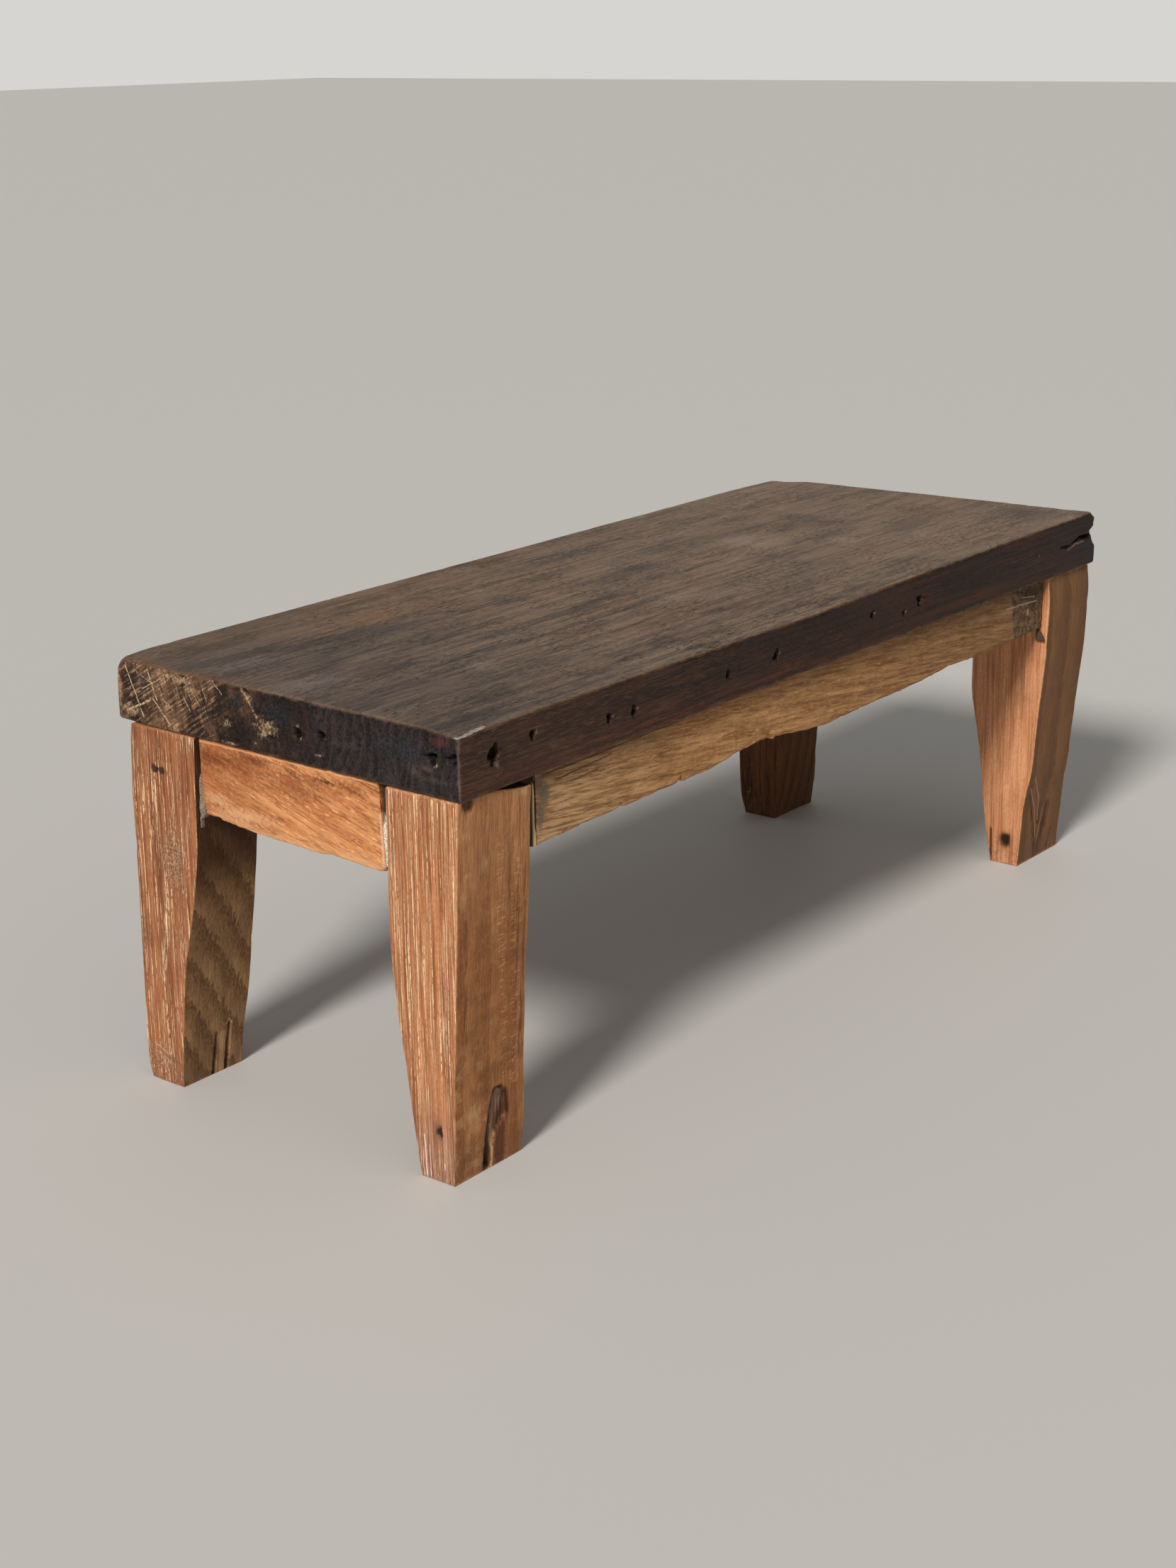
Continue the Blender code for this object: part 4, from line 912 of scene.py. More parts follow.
# Distance from a straight stretch: the nearest share along it, kept between its two ends.
from_start = g.vector("SUBTRACT", i["Point"], i["Start"])
run = g.vector("SUBTRACT", i["End"], i["Start"])
share = g.math("DIVIDE", g.vector("DOT_PRODUCT", from_start, run), g.vector("DOT_PRODUCT", run, run), True)
away = g.vector("DISTANCE", from_start, g.scale(run, share))
g.join(g.between(g.math("DIVIDE", away, g.times(i["Width"], 0.5)), 1.3, 0.5), o["Mask"])

g, i, o = new_group("spot mark", {"Point": ORIGIN, "Centre": ORIGIN, "Reach": (0.01, 0.01, 0.01),
                                  "Soft": 0.5, "Ragged": 0.5}, "Mask")
rough = g.swing(g.noise(i["Point"], 260.0, 3.0, 0.6), i["Ragged"])
away = g.vector("DIVIDE", g.vector("SUBTRACT", i["Point"], i["Centre"]), i["Reach"])
distance = g.plus(g.vector("LENGTH", away, ORIGIN), g.times(rough, 2.0))
g.join(g.between(distance, 1.0, g.minus(1.0, i["Soft"])), o["Mask"])

g, i, o = new_group("rubbed arris", {"Arris": 0.0, "Point": ORIGIN, "Low": 0.45, "High": 0.9}, "Mask")
uneven = g.swing(g.noise(i["Point"], 90.0, 4.0, 0.65), 1.3)
g.join(g.between(g.plus(i["Arris"], uneven), i["Low"], i["High"]), o["Mask"])
print("groups:", [group.name for group in bpy.data.node_groups])


# %% [markdown]
# ## Starting a finish
# Every finish begins in the same way: a Principled shader, the point in metres, the same point
# turned so that its first coordinate runs along the grain, and the numbers painted on the mesh.
# Placed marks are listed in millimetres, as measured on the side of the wood that they lie on.

# %% A material's beginning and end
def raw(streaks):
    """The noise from which a mask of streaks was made."""
    return streaks.node.outputs["Value"]


def on_side(flat_axis, pair, third=0.0):
    """Two numbers in millimetres on the side that flat_axis faces, as three in metres."""
    three = [value / 1000 for value in pair]
    three.insert(flat_axis, third)
    return three


class Finish(Graph):
    """The graph of a new material, with its points and the mesh's painted numbers."""

    def __init__(self, name, grain):
        self.material = bpy.data.materials.new(name)
        self.material.use_nodes = True
        super().__init__(self.material.node_tree)
        self.point = self.add("ShaderNodeTexCoord").outputs["Object"]
        self.x, self.y, self.z = self.add("ShaderNodeSeparateXYZ", Vector=self.point).outputs
        order = {"x": "xyz", "y": "yxz", "z": "zyx"}[grain]
        self.grain = self.combine(*[getattr(self, axis) for axis in order])
        for label in ("arris", "hole", "end_side", "long_side", "top_side", "torn"):
            setattr(self, label, self.add("ShaderNodeAttribute", {"attribute_name": label}).outputs["Fac"])

    def stretched(self, x, y, z):
        return self.vector("MULTIPLY", self.point, (x, y, z))

    def streaks(self, point, across, along, low, high, seed=0.0):
        """A mask of streaks along the grain."""
        return self.use("grain streaks", Point=point, Across=across, Along=along, Low=low, High=high,
                        Seed=seed)["Mask"]

    def stains(self, point, size, low, high, seed=0.0):
        return self.use("soft stains", Point=point, Size=size, Low=low, High=high, Seed=seed)["Mask"]

    def rubbed(self, low, high):
        return self.use("rubbed arris", Arris=self.arris, Point=self.point, Low=low, High=high)["Mask"]

    def lines(self, flat_axis, rows):
        """The largest mask of several lines on the side that flat_axis faces. A row is where the line
        starts, where it ends, and its width."""
        keep = tuple(0.0 if axis == flat_axis else 1.0 for axis in range(3))
        wobble = self.add("ShaderNodeTexNoise", Vector=self.point, Scale=160.0, Detail=3.0)
        shift = self.vector("MULTIPLY", self.vector("SUBTRACT", wobble.outputs["Color"], (0.5, 0.5, 0.5)),
                            tuple(0.0022 * share for share in keep))
        flat = self.vector("ADD", self.stretched(*keep), shift)
        return self.most(*[
            self.use("line mark", Point=flat, Start=on_side(flat_axis, start), End=on_side(flat_axis, end),
                     Width=width / 1000)["Mask"]
            for start, end, width in ((row[:2], row[2:4], row[4]) for row in rows)])

    def spots(self, flat_axis, rows, soft, ragged):
        """The largest mask of several spots on one side. A row is a spot's centre and its size."""
        flat = self.stretched(*[0.0 if axis == flat_axis else 1.0 for axis in range(3)])
        return self.most(*[
            self.use("spot mark", Point=flat, Centre=on_side(flat_axis, (across, up)),
                     Reach=on_side(flat_axis, (wide / 2, high / 2), 1.0), Soft=soft, Ragged=ragged)["Mask"]
            for across, up, wide, high in rows])

    def wood(self, colour, roughness, height, depth, hole=0.0):
        """Joins colour, roughness and a bump of that depth to the shader, with painted shade darkening the
        holes, splits and gaps, and the knots darkened in their own colour.
        """
        shader = self.tree.nodes["Principled BSDF"]
        shader.inputs["Specular IOR Level"].default_value = 0.14
        self.join(self.coats(colour, ((14, 9, 7), hole, 0.93)), shader.inputs["Base Color"])
        self.join(roughness, shader.inputs["Roughness"])
        bump = self.add("ShaderNodeBump", Strength=1.0, Distance=depth, Height=height)
        self.join(bump.outputs[0], shader.inputs["Normal"])
        print("finish:", self.material.name, len(self.tree.nodes), "nodes")
        return self.material


print("a place on the slab's left end:", on_side(0, (-2, 402)))

# %% [markdown]
# ## The slab's finish
# The top is a satin grey-brown with fine streaks, soft darker clouds, rusty patches and many
# short dark pores. The long edge is almost black above and reddish below. The left end shows the
# plank's end grain: brown and scratched near the back corner, black in the middle, and a cold
# purple-grey near the front corner. Three colours are built side by side and chosen by the side
# that a point is on. Each is a stack of coats, thinned by masks.

# %% Slab wood: the top and the long sides
def slab_top(g, fine, broad, thin, pore, cloud, long_line, dark_line):
    """Streaks and clouds, warmer and paler to the right as a painted sheen, with worn patches where
    the photo has them.
    """
    flat = g.stretched(0.22, 1, 1)
    rust, pale = g.stains(flat, 0.06, 0.46, 0.62, 9), g.stains(flat, 0.045, 0.48, 0.64, 12)
    drift = g.noise(g.stretched(9, 34, 34), 1, 5, 0.62)
    grit = g.noise(g.stretched(420, 900, 900), 1, 3, 0.7)
    worn = g.between(drift, 0.38, 0.56, 0.35, 1)
    patches = [
        ((142, 104, 68), 0.42, [(-300, 120, 240, 110)]),
        ((48, 48, 52), 0.62, [(-330, 78, 210, 70), (20, 38, 150, 50), (340, 30, 70, 140),
                              (510, -150, 140, 130)]),
        ((72, 46, 40), 0.45, [(-450, -20, 110, 60)]),
        ((140, 130, 132), 0.36, [(-505, 100, 120, 60), (-515, 0, 130, 60)]),
        ((160, 140, 120), 0.42, [(-380, -90, 50, 80), (200, 30, 130, 140), (265, -60, 70, 90),
                                 (-70, -65, 130, 50)])]
    return g.coats(
        g.mix(broad, (78, 65, 57), (104, 88, 76)),
        ((112, 80, 58), rust, 0.42),
        ((56, 50, 49), cloud, 0.5),
        ((134, 116, 100), pale, 0.4),
        ((140, 116, 96), fine, 0.4),
        ((156, 130, 106), long_line, 0.42),
        ((166, 142, 118), thin, 0.5),
        ((46, 37, 33), dark_line, 0.46),
        ((136, 112, 92), g.between(drift, 0.52, 0.66, 0, 0.46)),
        ((50, 43, 40), g.between(drift, 0.48, 0.36, 0, 0.52)),
        ((34, 27, 24), g.between(grit, 0.5, 0.6, 0, 0.28)),
        ((32, 26, 24), pore, 0.8),
        # Painted sheen: paler towards the right end.
        ((150, 129, 110), g.between(g.x, -0.3, 0.45, 0, 0.26)),
        ((70, 66, 66), g.between(g.x, -0.18, -0.52, 0, 0.34)),
        ((124, 96, 68), g.between(g.y, 0.12, 0.2), g.between(g.x, 0.1, -0.2), 0.3),
        *[(tint, g.spots(2, spots, 0.98, 0.9), worn, share) for tint, share, spots in patches],
        ((112, 72, 44), g.between(g.x, -0.545, -0.566), g.between(g.y, -0.02, 0.1), 0.5))


def slab_side(g, fine, broad, thin, pore, cloud, long_line, dark_line):
    """Dark streaks, a reddish band below, greyer at the left and cooler at the right end."""
    band_edge = g.plus(g.z, g.swing(raw(broad), 0.03))
    return g.coats(
        g.mix(fine, (38, 23, 18), (82, 55, 42)),
        ((48, 32, 25), broad, 0.5),
        ((28, 18, 15), dark_line, 0.45),
        ((104, 80, 62), thin, 0.4),
        ((26, 19, 17), pore, 0.6),
        (g.mix(fine, (66, 37, 26), (104, 64, 44)), g.between(band_edge, 0.386, 0.37), 0.6),
        ((40, 31, 30), cloud, 0.36),
        (g.mix(long_line, (26, 13, 9), (62, 34, 22)), g.between(g.x, -0.5, 0.3, 0, 0.64)),
        (g.mix(thin, (88, 62, 48), (124, 94, 74)), g.between(g.x, -0.2, -0.5, 0, 0.3)),
        (g.mix(cloud, (36, 32, 34), (58, 48, 48)), g.between(g.x, 0.4, 0.53, 0, 0.55)))


# %% Slab wood: the ends
scratch_rows = [
    (201, 416, 188.9, 391.3, 1.5), (188.9, 391.3, 178.4, 368.5, 1.5), (169, 415, 158.5, 388.2, 1.5),
    (163.8, 388.3, 142.5, 367.8, 1.6), (200, 372.2, 168.6, 385.8, 1.8), (121.6, 397, 113.2, 385, 0.9),
    (106.8, 401.5, 99.1, 392.1, 0.9), (150, 390.3, 137.6, 382.2, 0.9), (81.1, 419, 69, 407.8, 1),
    (132.3, 406.7, 127.7, 394.7, 0.8), (94.7, 408.8, 90.1, 397.6, 0.8), (116, 406, 110.5, 396, 0.8),
    (187, 412, 156, 400, 0.8), (178, 396, 150, 410, 0.9)]
torn_spots = [
    (124, 412.5, 44, 10), (112, 405, 20, 10), (145, 414, 30, 6), (64, 382.1, 15, 10),
    (13, 386.5, 36, 22), (35, 409.5, 12, 10), (-26.2, 393.5, 7, 8), (-30, 385, 7, 7),
    (-52.5, 373, 14, 3), (-190.5, 389.5, 10, 8), (61, 363.8, 26, 4), (-57.5, 390.5, 10, 7),
    (212, 392, 14, 50), (18.4, 378.9, 10, 6), (28.2, 369.9, 6, 4), (195, 372, 30, 14)]
print("scratches:", len(scratch_rows), "torn spots:", len(torn_spots))


def hatch(g, angle, across, along, low, high):
    """Saw marks on an end: streaks that lean by an angle."""
    leaning = g.add("ShaderNodeMapping", Vector=g.point, Rotation=(math.radians(angle), 0, 0)).outputs[0]
    x, y, z = g.add("ShaderNodeSeparateXYZ", Vector=leaning).outputs
    return g.streaks(g.combine(y, z, x), across, along, low, high, angle)


def slab_end(g, scratches, left):
    """Purple-grey at the front, black, then hatched brown at the back; then the left end's marks."""
    crumbs = g.noise(g.point, 420, 4, 0.7)
    crumb = g.between(crumbs, 0.42, 0.62)
    smoky = g.stains(g.stretched(1, 1, 0.6), 0.022, 0.4, 0.62, 6)
    rings = g.use("growth rings", Point=g.point, Across=(0, 1, 0.22), Spacing=0.0105, Wander=0.05,
                  Wander_size=0.06, Seed=3)["Late"]
    mottle = g.noise(g.stretched(1, 85, 62), 1, 5, 0.68)
    patchy = g.between(mottle, 0.42, 0.6, 0.35, 1)
    purple = g.coats(g.mix(smoky, (20, 17, 18), (36, 31, 33)),
                     ((80, 72, 74), rings, 0.2),
                     ((66, 58, 62), g.between(mottle, 0.5, 0.64), 0.34))
    black = g.coats(g.mix(smoky, (20, 14, 13), (42, 29, 26)),
                    ((84, 60, 47), g.between(mottle, 0.52, 0.66), 0.4))
    brown = g.coats(g.mix(smoky, (40, 28, 22), (122, 89, 67)),
                    ((198, 156, 120), hatch(g, 32, 420, 42, 0.5, 0.6), patchy, 0.74),
                    ((32, 22, 18), hatch(g, -68, 330, 34, 0.5, 0.62), patchy, 0.74),
                    ((44, 30, 23), g.between(mottle, 0.54, 0.4, 0, 0.4)))
    ragged = g.minus(g.plus(g.y, g.swing(smoky, 0.035)), g.times(g.minus(0.42, g.z), 0.5))
    edge_light = g.lines(0, [(46.5, 419.5, 35.2, 408.5, 1.2), (35.2, 408.5, 25, 393.5, 1.3),
                             (20, 388.5, 15, 379, 2)])
    fibre = g.noise(g.stretched(1, 800, 330), 1, 3, 0.7)
    torn = g.spots(0, torn_spots, 0.9, 1.1)
    red = g.spots(0, [(-197.8, 410.5, 34, 12)], 0.9, 0.8)
    blue = g.spots(0, [(-2, 402, 56, 30), (50, 406, 24, 18), (-150, 396, 90, 30), (176, 402, 20, 30)],
                   0.95, 0.8)
    wine = g.lines(0, [(-36, 417, -40, 400, 5), (-40, 400, -34, 378, 4), (-70, 408, -76, 386, 4),
                       (44, 412, 62, 415, 5)])
    smear = g.spots(0, [(-178, 385, 36, 10), (-188, 376, 60, 8), (-85, 388, 40, 12), (-168, 380, 20, 12)],
                    0.95, 0.9)
    return g.coats(
        g.mix(g.between(g.y, -0.01, -0.07), black, purple),
        (brown, g.between(ragged, 0.02, 0.095)),
        ((98, 76, 62), crumb, 0.16),
        ((18, 13, 12), g.between(crumbs, 0.47, 0.38), 0.6),
        (g.mix(crumb, (28, 31, 36), (54, 58, 66)), blue, left, 0.55),
        ((70, 36, 32), wine, left, 0.36),
        ((112, 92, 80), smear, g.between(mottle, 0.4, 0.6, 0.3, 1), left, 0.3),
        ((186, 156, 118), torn, g.between(fibre, 0.42, 0.56), left, 0.8),
        ((196, 160, 118), edge_light, g.between(crumbs, 0.4, 0.52), left, 0.65),
        ((214, 184, 146), scratches, left, 0.85),
        ((110, 52, 48), red, left, 0.4))


# %% Slab wood: the sides together
def slab_finish():
    """Top, long sides and ends, then the rims of the nail holes and the rubbed arrises."""
    g = Finish("slab wood, dark and worn", "x")
    fine = g.streaks(g.grain, 430, 17, 0.42, 0.58)
    pores = g.streaks(g.grain, 950, 105, 0.55, 0.62, 3)
    pore = g.times(pores, g.between(g.stains(g.point, 0.06, 0.4, 0.6, 2), 0, 1, 0.25, 1))
    broad, thin, long_line, dark_line = [g.streaks(g.grain, *how) for how in (
        (95, 5, 0.38, 0.62, 7), (900, 55, 0.54, 0.62, 2), (165, 5.5, 0.42, 0.6, 5), (240, 9, 0.54, 0.64, 8))]
    cloud = g.stains(g.stretched(0.22, 1, 1), 0.075, 0.47, 0.64, 4)
    shared = (fine, broad, thin, pore, cloud, long_line, dark_line)
    left = g.between(g.x, -0.4, -0.5)
    scratches = g.times(g.lines(0, scratch_rows), g.between(g.noise(g.point, 420, 4, 0.7), 0.36, 0.5))
    colour = g.mix(g.minus(1, g.top_side), slab_top(g, *shared), slab_side(g, *shared))
    rims = g.most(
        g.spots(1, [(-518.5, 382.2, 7, 8), (-466.2, 399.5, 3, 6), (-359.5, 388.2, 3, 5),
                    (-322.8, 387.2, 4, 5), (-94.2, 390, 4, 6), (79.5, 395, 3, 4), (141, 385, 3, 4),
                    (174.5, 392.2, 4, 6), (429.8, 391.8, 3, 5)], 0.8, 0.9),
        g.lines(1, [(499, 386.2, 518, 390.8, 2.2), (518, 390.8, 538, 390.5, 2.4)]))
    corner = g.lines(0, [(-216.5, 412, -216.5, 364, 1.3)])
    pale_edge = g.lines(1, [(-566, 416.5, -530, 418.5, 1.4)])
    colour = g.coats(
        colour,
        (slab_end(g, scratches, left), g.between(g.end_side, 0.3, 0.7)),
        ((138, 114, 94), rims, g.between(g.y, -0.2, -0.21), 0.55),
        ((128, 100, 78), g.rubbed(0.62, 1.25), 0.45),
        ((104, 100, 100), corner, g.between(g.x, -0.56, -0.5635), 0.35),
        ((190, 180, 168), pale_edge, g.between(g.y, -0.21, -0.214), 0.6))
    rough = g.plus(g.between(raw(fine), 0.35, 0.65, 0.4, 0.56), g.times(g.end_side, 0.06))
    height = g.minus(g.times(raw(fine), 0.8), pore)
    height = g.minus(height, g.times(scratches, g.times(left, 0.8)))
    return g.wood(colour, rough, height, 0.0005, g.hole)


pieces["seat_slab"].data.materials.append(slab_finish())


# %% [markdown]
# ## The legs' finish
# The end sides of the legs, which face the light, are bright orange-brown with pale streaks:
# the open pores of teak, full of old dust. The long sides are smoother and browner, with wide
# flame-like rings. One recipe makes all four legs. Its colours, and how wide the rings are, are
# different for each one.

# %% Leg wood
def leg_finish(leg, end_dark, end_mid, end_pale, long_dark, long_mid, long_pale, pale_streaks, rings, tilt,
               jagged, marks):
    """pale_streaks is how many there are (0 to 1); rings is the growth rings' spacing."""
    g = Finish(leg.replace("_", " ") + ", oiled teak", "z")
    seed = float(len(leg) + ord(leg[4]) + ord(leg[-1]))
    crumbs = g.streaks(g.grain, 640, 260, 0.42, 0.58, seed)
    fine = g.streaks(g.grain, 520, 13, 0.42, 0.58, seed)
    broad = g.streaks(g.grain, 125, 5, 0.38, 0.62, seed + 3)
    pale = g.streaks(g.grain, 860, 9, 0.63 - 0.1 * pale_streaks, 0.67 - 0.09 * pale_streaks, seed + 5)
    cream = g.times(pale, g.streaks(g.grain, 500, 150, 0.36, 0.5, seed + 6))
    dark_line = g.streaks(g.grain, 330, 8, 0.56, 0.64, seed + 8)
    ring = g.use("growth rings", Point=g.grain, Across=tilt, Spacing=rings, Wander=0.045,
                 Wander_size=0.16, Jagged=jagged, Seed=seed)
    end = g.coats(
        g.mix(broad, end_dark, end_mid),
        (end_pale, fine, 0.45),
        (end_dark, dark_line, 0.5 if pale_streaks > 0 else 0.22),
        (end_dark, crumbs, 0.34),
        ((248, 209, 166), cream, 0.9))
    side = g.coats(
        g.mix(ring["Ring"], long_pale, long_mid),
        (long_dark, g.stains(g.stretched(1, 1, 0.35), 0.018, 0.38, 0.62, seed + 11), 0.3),
        (long_dark, ring["Late"], 0.5),
        (long_dark, fine, 0.22),
        (long_mid, broad, 0.25),
        (long_pale, crumbs, 0.3))
    colour = g.coats(
        g.mix(g.long_side, end, side),
        (long_dark, g.stains(g.stretched(1, 1, 0.5), 0.045, 0.52, 0.74, seed), 0.35),
        (end_pale, g.rubbed(0.55, 1.2), 0.4),
        ((104, 78, 66), g.between(g.z, 0.045, 0.0), g.between(raw(crumbs), 0.38, 0.56), 0.4))
    height = g.plus(g.plus(g.times(raw(fine), 0.7), g.times(cream, -0.6)), g.times(raw(crumbs), 0.5))
    if marks:
        colour = g.coats(colour, *marks(g, fine))
    return g.wood(colour, g.between(raw(fine), 0.35, 0.65, 0.5, 0.66), height, 0.0006, g.hole)


# %% Marks that are painted on the near leg
def near_leg_marks(g, fine):
    """Smooth pale patches, ladder-like flecks of the rays, the torn hollow's dry wood, and dirt."""
    front = g.times(g.long_side, g.between(g.y, -0.16, -0.17))
    patches = g.spots(1, [(-555.1, 327, 20, 16), (-532.3, 295.9, 17, 24), (-553.3, 291.8, 16, 8),
                          (-542, 64, 30, 20), (-560, 270, 12, 30)], 0.9, 0.5)
    ladder = g.noise(g.stretched(110, 1, 520), 1, 2, 0.5)
    column = g.most(*[
        g.use("line mark", Point=g.stretched(1, 0, 1), Start=start, End=end, Width=width)["Mask"]
        for start, end, width in (((-0.5128, 0, 0.32), (-0.4999, 0, 0.09), 0.012),
                                  ((-0.489, 0, 0.3), (-0.487, 0, 0.08), 0.014))])
    dark = g.lines(1, [(-485, 345, -486.5, 170, 4.4), (-498, 345, -499, 230, 3), (-476, 300, -480, 100, 4),
                       (-556, 250, -554, 120, 5)])
    dirty = g.spots(1, [(-505.5, 36, 20, 50), (-506, 16, 22, 56), (-498, 56, 12, 46)], 0.55, 0.45)
    low_cloud = g.spots(1, [(-512, 93, 50, 30), (-548, 30, 30, 50), (-530, 80, 40, 20)], 0.9, 0.9)
    smeared = g.times(g.stains(g.point, 0.012, 0.48, 0.64, 33), g.between(g.z, 0.16, 0.1),
                      g.between(g.x, -0.519, -0.526))
    frayed = g.lines(0, [(-162.8, 42, -164.2, 0, 1.8), (-159.8, 30, -161.2, 0, 1.4),
                         (-168, 34, -169, 0, 1), (-186, 20, -186.6, 0, 1.2)])
    return [
        ((228, 180, 132), patches, front, 0.55),
        ((238, 190, 142), g.times(g.between(ladder, 0.56, 0.64), g.times(column, front)), 0.4),
        ((92, 52, 32), dark, g.between(raw(fine), 0.36, 0.54), front, 0.55),
        (g.mix(g.between(raw(fine), 0.4, 0.6), (96, 80, 68), (160, 134, 112)), g.torn, front, 0.85),
        (g.mix(fine, (58, 33, 22), (110, 66, 42)), dirty, front, 0.85),
        ((128, 84, 66), g.spots(0, [(-179.8, 50, 26, 36)], 0.95, 1.0), g.end_side, 0.55),
        ((92, 58, 34), g.stains(g.point, 0.016, 0.44, 0.62, 21), front, 0.26),
        (g.mix(fine, (218, 160, 110), (190, 134, 90)), g.between(g.z, 0.21, 0.34), front, 0.5),
        ((84, 52, 32), low_cloud, front, 0.28),
        ((206, 160, 112), smeared, front, 0.4),
        ((222, 184, 144), g.spots(1, [(-480, 349, 14, 14)], 0.8, 0.6), front, 0.55),
        (g.mix(fine, (116, 78, 66), (180, 140, 120)), g.between(g.z, 0.095, 0.025), g.end_side, 0.55),
        ((240, 208, 184), frayed, g.end_side, g.between(raw(fine), 0.36, 0.5), 0.75),
        ((208, 164, 120), g.lines(1, [(-516.8, 42, -515.8, -2, 1.2)]), front, 0.8)]


# %% Marks that are painted on the other legs
def left_leg_marks(g, fine):
    """Painted shade over the top of the inner side, pale chips at the foot, and a bruised, speckled
    band on the end side.
    """
    inner = g.times(g.long_side, g.between(g.y, 0.17, 0.16))
    strip = g.lines(1, [(-517.5, -2, -515, 40, 8), (-506, 10, -503, 50, 2.4)])
    arch = g.lines(1, [(-510.5, 48, -506.2, 53.5, 1.3), (-506.2, 53.5, -503, 47, 1.3),
                       (-524, 30, -526.2, 2, 1.2)])
    speck = g.between(g.noise(g.point, 420, 2, 0.6), 0.42, 0.6)
    bruise = g.spots(0, [(148, 235, 50, 85), (180, 23, 46, 40)], 0.9, 0.5)
    nail = g.spots(0, [(167.2, 322.2, 11, 10), (156.8, 320.5, 13, 10), (163, 321.2, 14, 5)], 0.6, 0.4)
    scratch = g.lines(0, [(190, 38, 172, 31, 1.6), (185, 30, 170, 22, 1.4)])
    return [
        # Painted shade: the inner side darkens towards its top, in the shade under the slab.
        ((52, 27, 12), g.times(g.between(g.z, 0.175, 0.245), inner), 0.8),
        ((206, 164, 120), strip, inner, 0.45),
        ((214, 172, 128), arch, inner, 0.75),
        (g.mix(speck, (98, 72, 56), (186, 152, 124)), bruise, g.end_side, 0.55),
        ((46, 26, 20), nail, g.end_side, 0.85),
        ((206, 170, 138), scratch, g.end_side, 0.6)]


def right_leg_marks(g, fine):
    """A black knot with a dark ring round it, and crooked grain at the foot of the long side."""
    ring, core, heart = [g.spots(0, [(-168.1, 30.5, *size)], soft, 0.15)
                         for size, soft in (((34, 40), 0.9), ((21, 25), 0.7), ((9, 11), 0.8))]
    dark = g.lines(1, [(479, 90, 492, 58, 6), (492, 58, 510, 4, 7), (530, 64, 523, 40, 13),
                       (523, 40, 513, 8, 8), (510, 72, 509, 46, 6), (545, 30, 540, 6, 4)])
    light = g.lines(1, [(480, 112, 504, 80, 2), (504, 80, 508, 50, 1.6), (476, 98, 496, 70, 1.6),
                        (496, 70, 506, 30, 1.6), (519, 62, 511, 25, 1.4)])
    return [
        ((110, 56, 32), ring, g.end_side, 0.55),
        ((34, 22, 18), core, g.end_side, 0.85),
        ((92, 52, 36), heart, g.end_side, 0.55),
        ((52, 35, 26), dark, g.between(raw(fine), 0.36, 0.54, 0.35, 1), g.long_side, 0.7),
        ((190, 142, 102), light, g.long_side, 0.8)]


# %% The legs' colours
leg_looks = {
    "leg_front_left": ((138, 80, 46), (194, 127, 83), (224, 168, 124), (130, 78, 43), (168, 109, 64),
                       (194, 135, 86), 1.0, 0.031, (0.05, 0.35, 0.9), 0.006, near_leg_marks),
    "leg_back_left": ((120, 66, 40), (162, 100, 64), (194, 136, 94), (78, 52, 31), (124, 87, 54),
                      (180, 140, 97), 0.9, 0.021, (0.5, 0.2, 0.62), 0.02, left_leg_marks),
    "leg_front_right": ((172, 108, 70), (208, 144, 101), (230, 178, 134), (94, 62, 38), (117, 80, 50),
                        (142, 100, 64), -0.4, 0.034, (0.08, 0.3, 0.8), 0.016, right_leg_marks),
    "leg_back_right": ((72, 42, 23), (116, 73, 43), (146, 100, 64), (68, 41, 19), (97, 61, 30),
                       (120, 79, 43), -0.6, 0.018, (0.05, 0.4, 0.9), 0.004, None),
}
for leg, look in leg_looks.items():
    pieces[leg].data.materials.append(leg_finish(leg, *look))


# %% [markdown]
# ## The rails' finish
# The left rail is vivid orange with a dark cloud along its top and short slanting flecks. The
# front rail is paler, a golden tan with coarse grain and dark streaks at its top left. The other
# two are guessed from these. Where a rail was sawn, light catches the torn fibres.

# %% Rail wood
def rail_finish(rail, dark, mid, pale, slant, flecks, marks):
    """slant turns the streaks off the rail's line, as in crooked grain; flecks is how strong they are."""
    g = Finish(rail.replace("_", " ") + ", sawn teak", "x" if rail in LONG_RAILS else "y")
    turned = g.add("ShaderNodeMapping", Vector=g.grain, Rotation=(0, math.radians(slant), 0)).outputs[0]
    seed = float(sum(map(ord, rail)) % 17)
    fine = g.streaks(turned, 430, 32, 0.42, 0.58, seed)
    broad = g.streaks(turned, 120, 9, 0.38, 0.62, seed + 2)
    fleck = g.streaks(turned, 420, 75, 0.56, 0.63, seed + 4)
    colour = g.coats(
        g.mix(broad, mid, pale),
        (dark, g.stains(turned, 0.026, 0.4, 0.64, seed + 1), 0.22),
        (dark, fine, 0.3),
        (pale, g.streaks(turned, 560, 190, 0.42, 0.58, seed), 0.3),
        (dark, g.streaks(turned, 300, 16, 0.55, 0.64, seed + 6), 0.45),
        ([part * 0.75 for part in srgb(*dark)], g.streaks(turned, 380, 50, 0.54, 0.61, seed + 9),
         0.83 * flecks),
        ([min(0.95, part * 1.45) for part in srgb(*pale)], fleck, flecks),
        (dark, g.rubbed(0.55, 1.2), 0.3))
    if marks:
        colour = g.coats(colour, *marks(g, fine, broad))
    return g.wood(colour, g.between(raw(fine), 0.35, 0.65, 0.55, 0.72),
                  g.plus(raw(fine), g.times(fleck, 0.4)), 0.0008, g.hole)


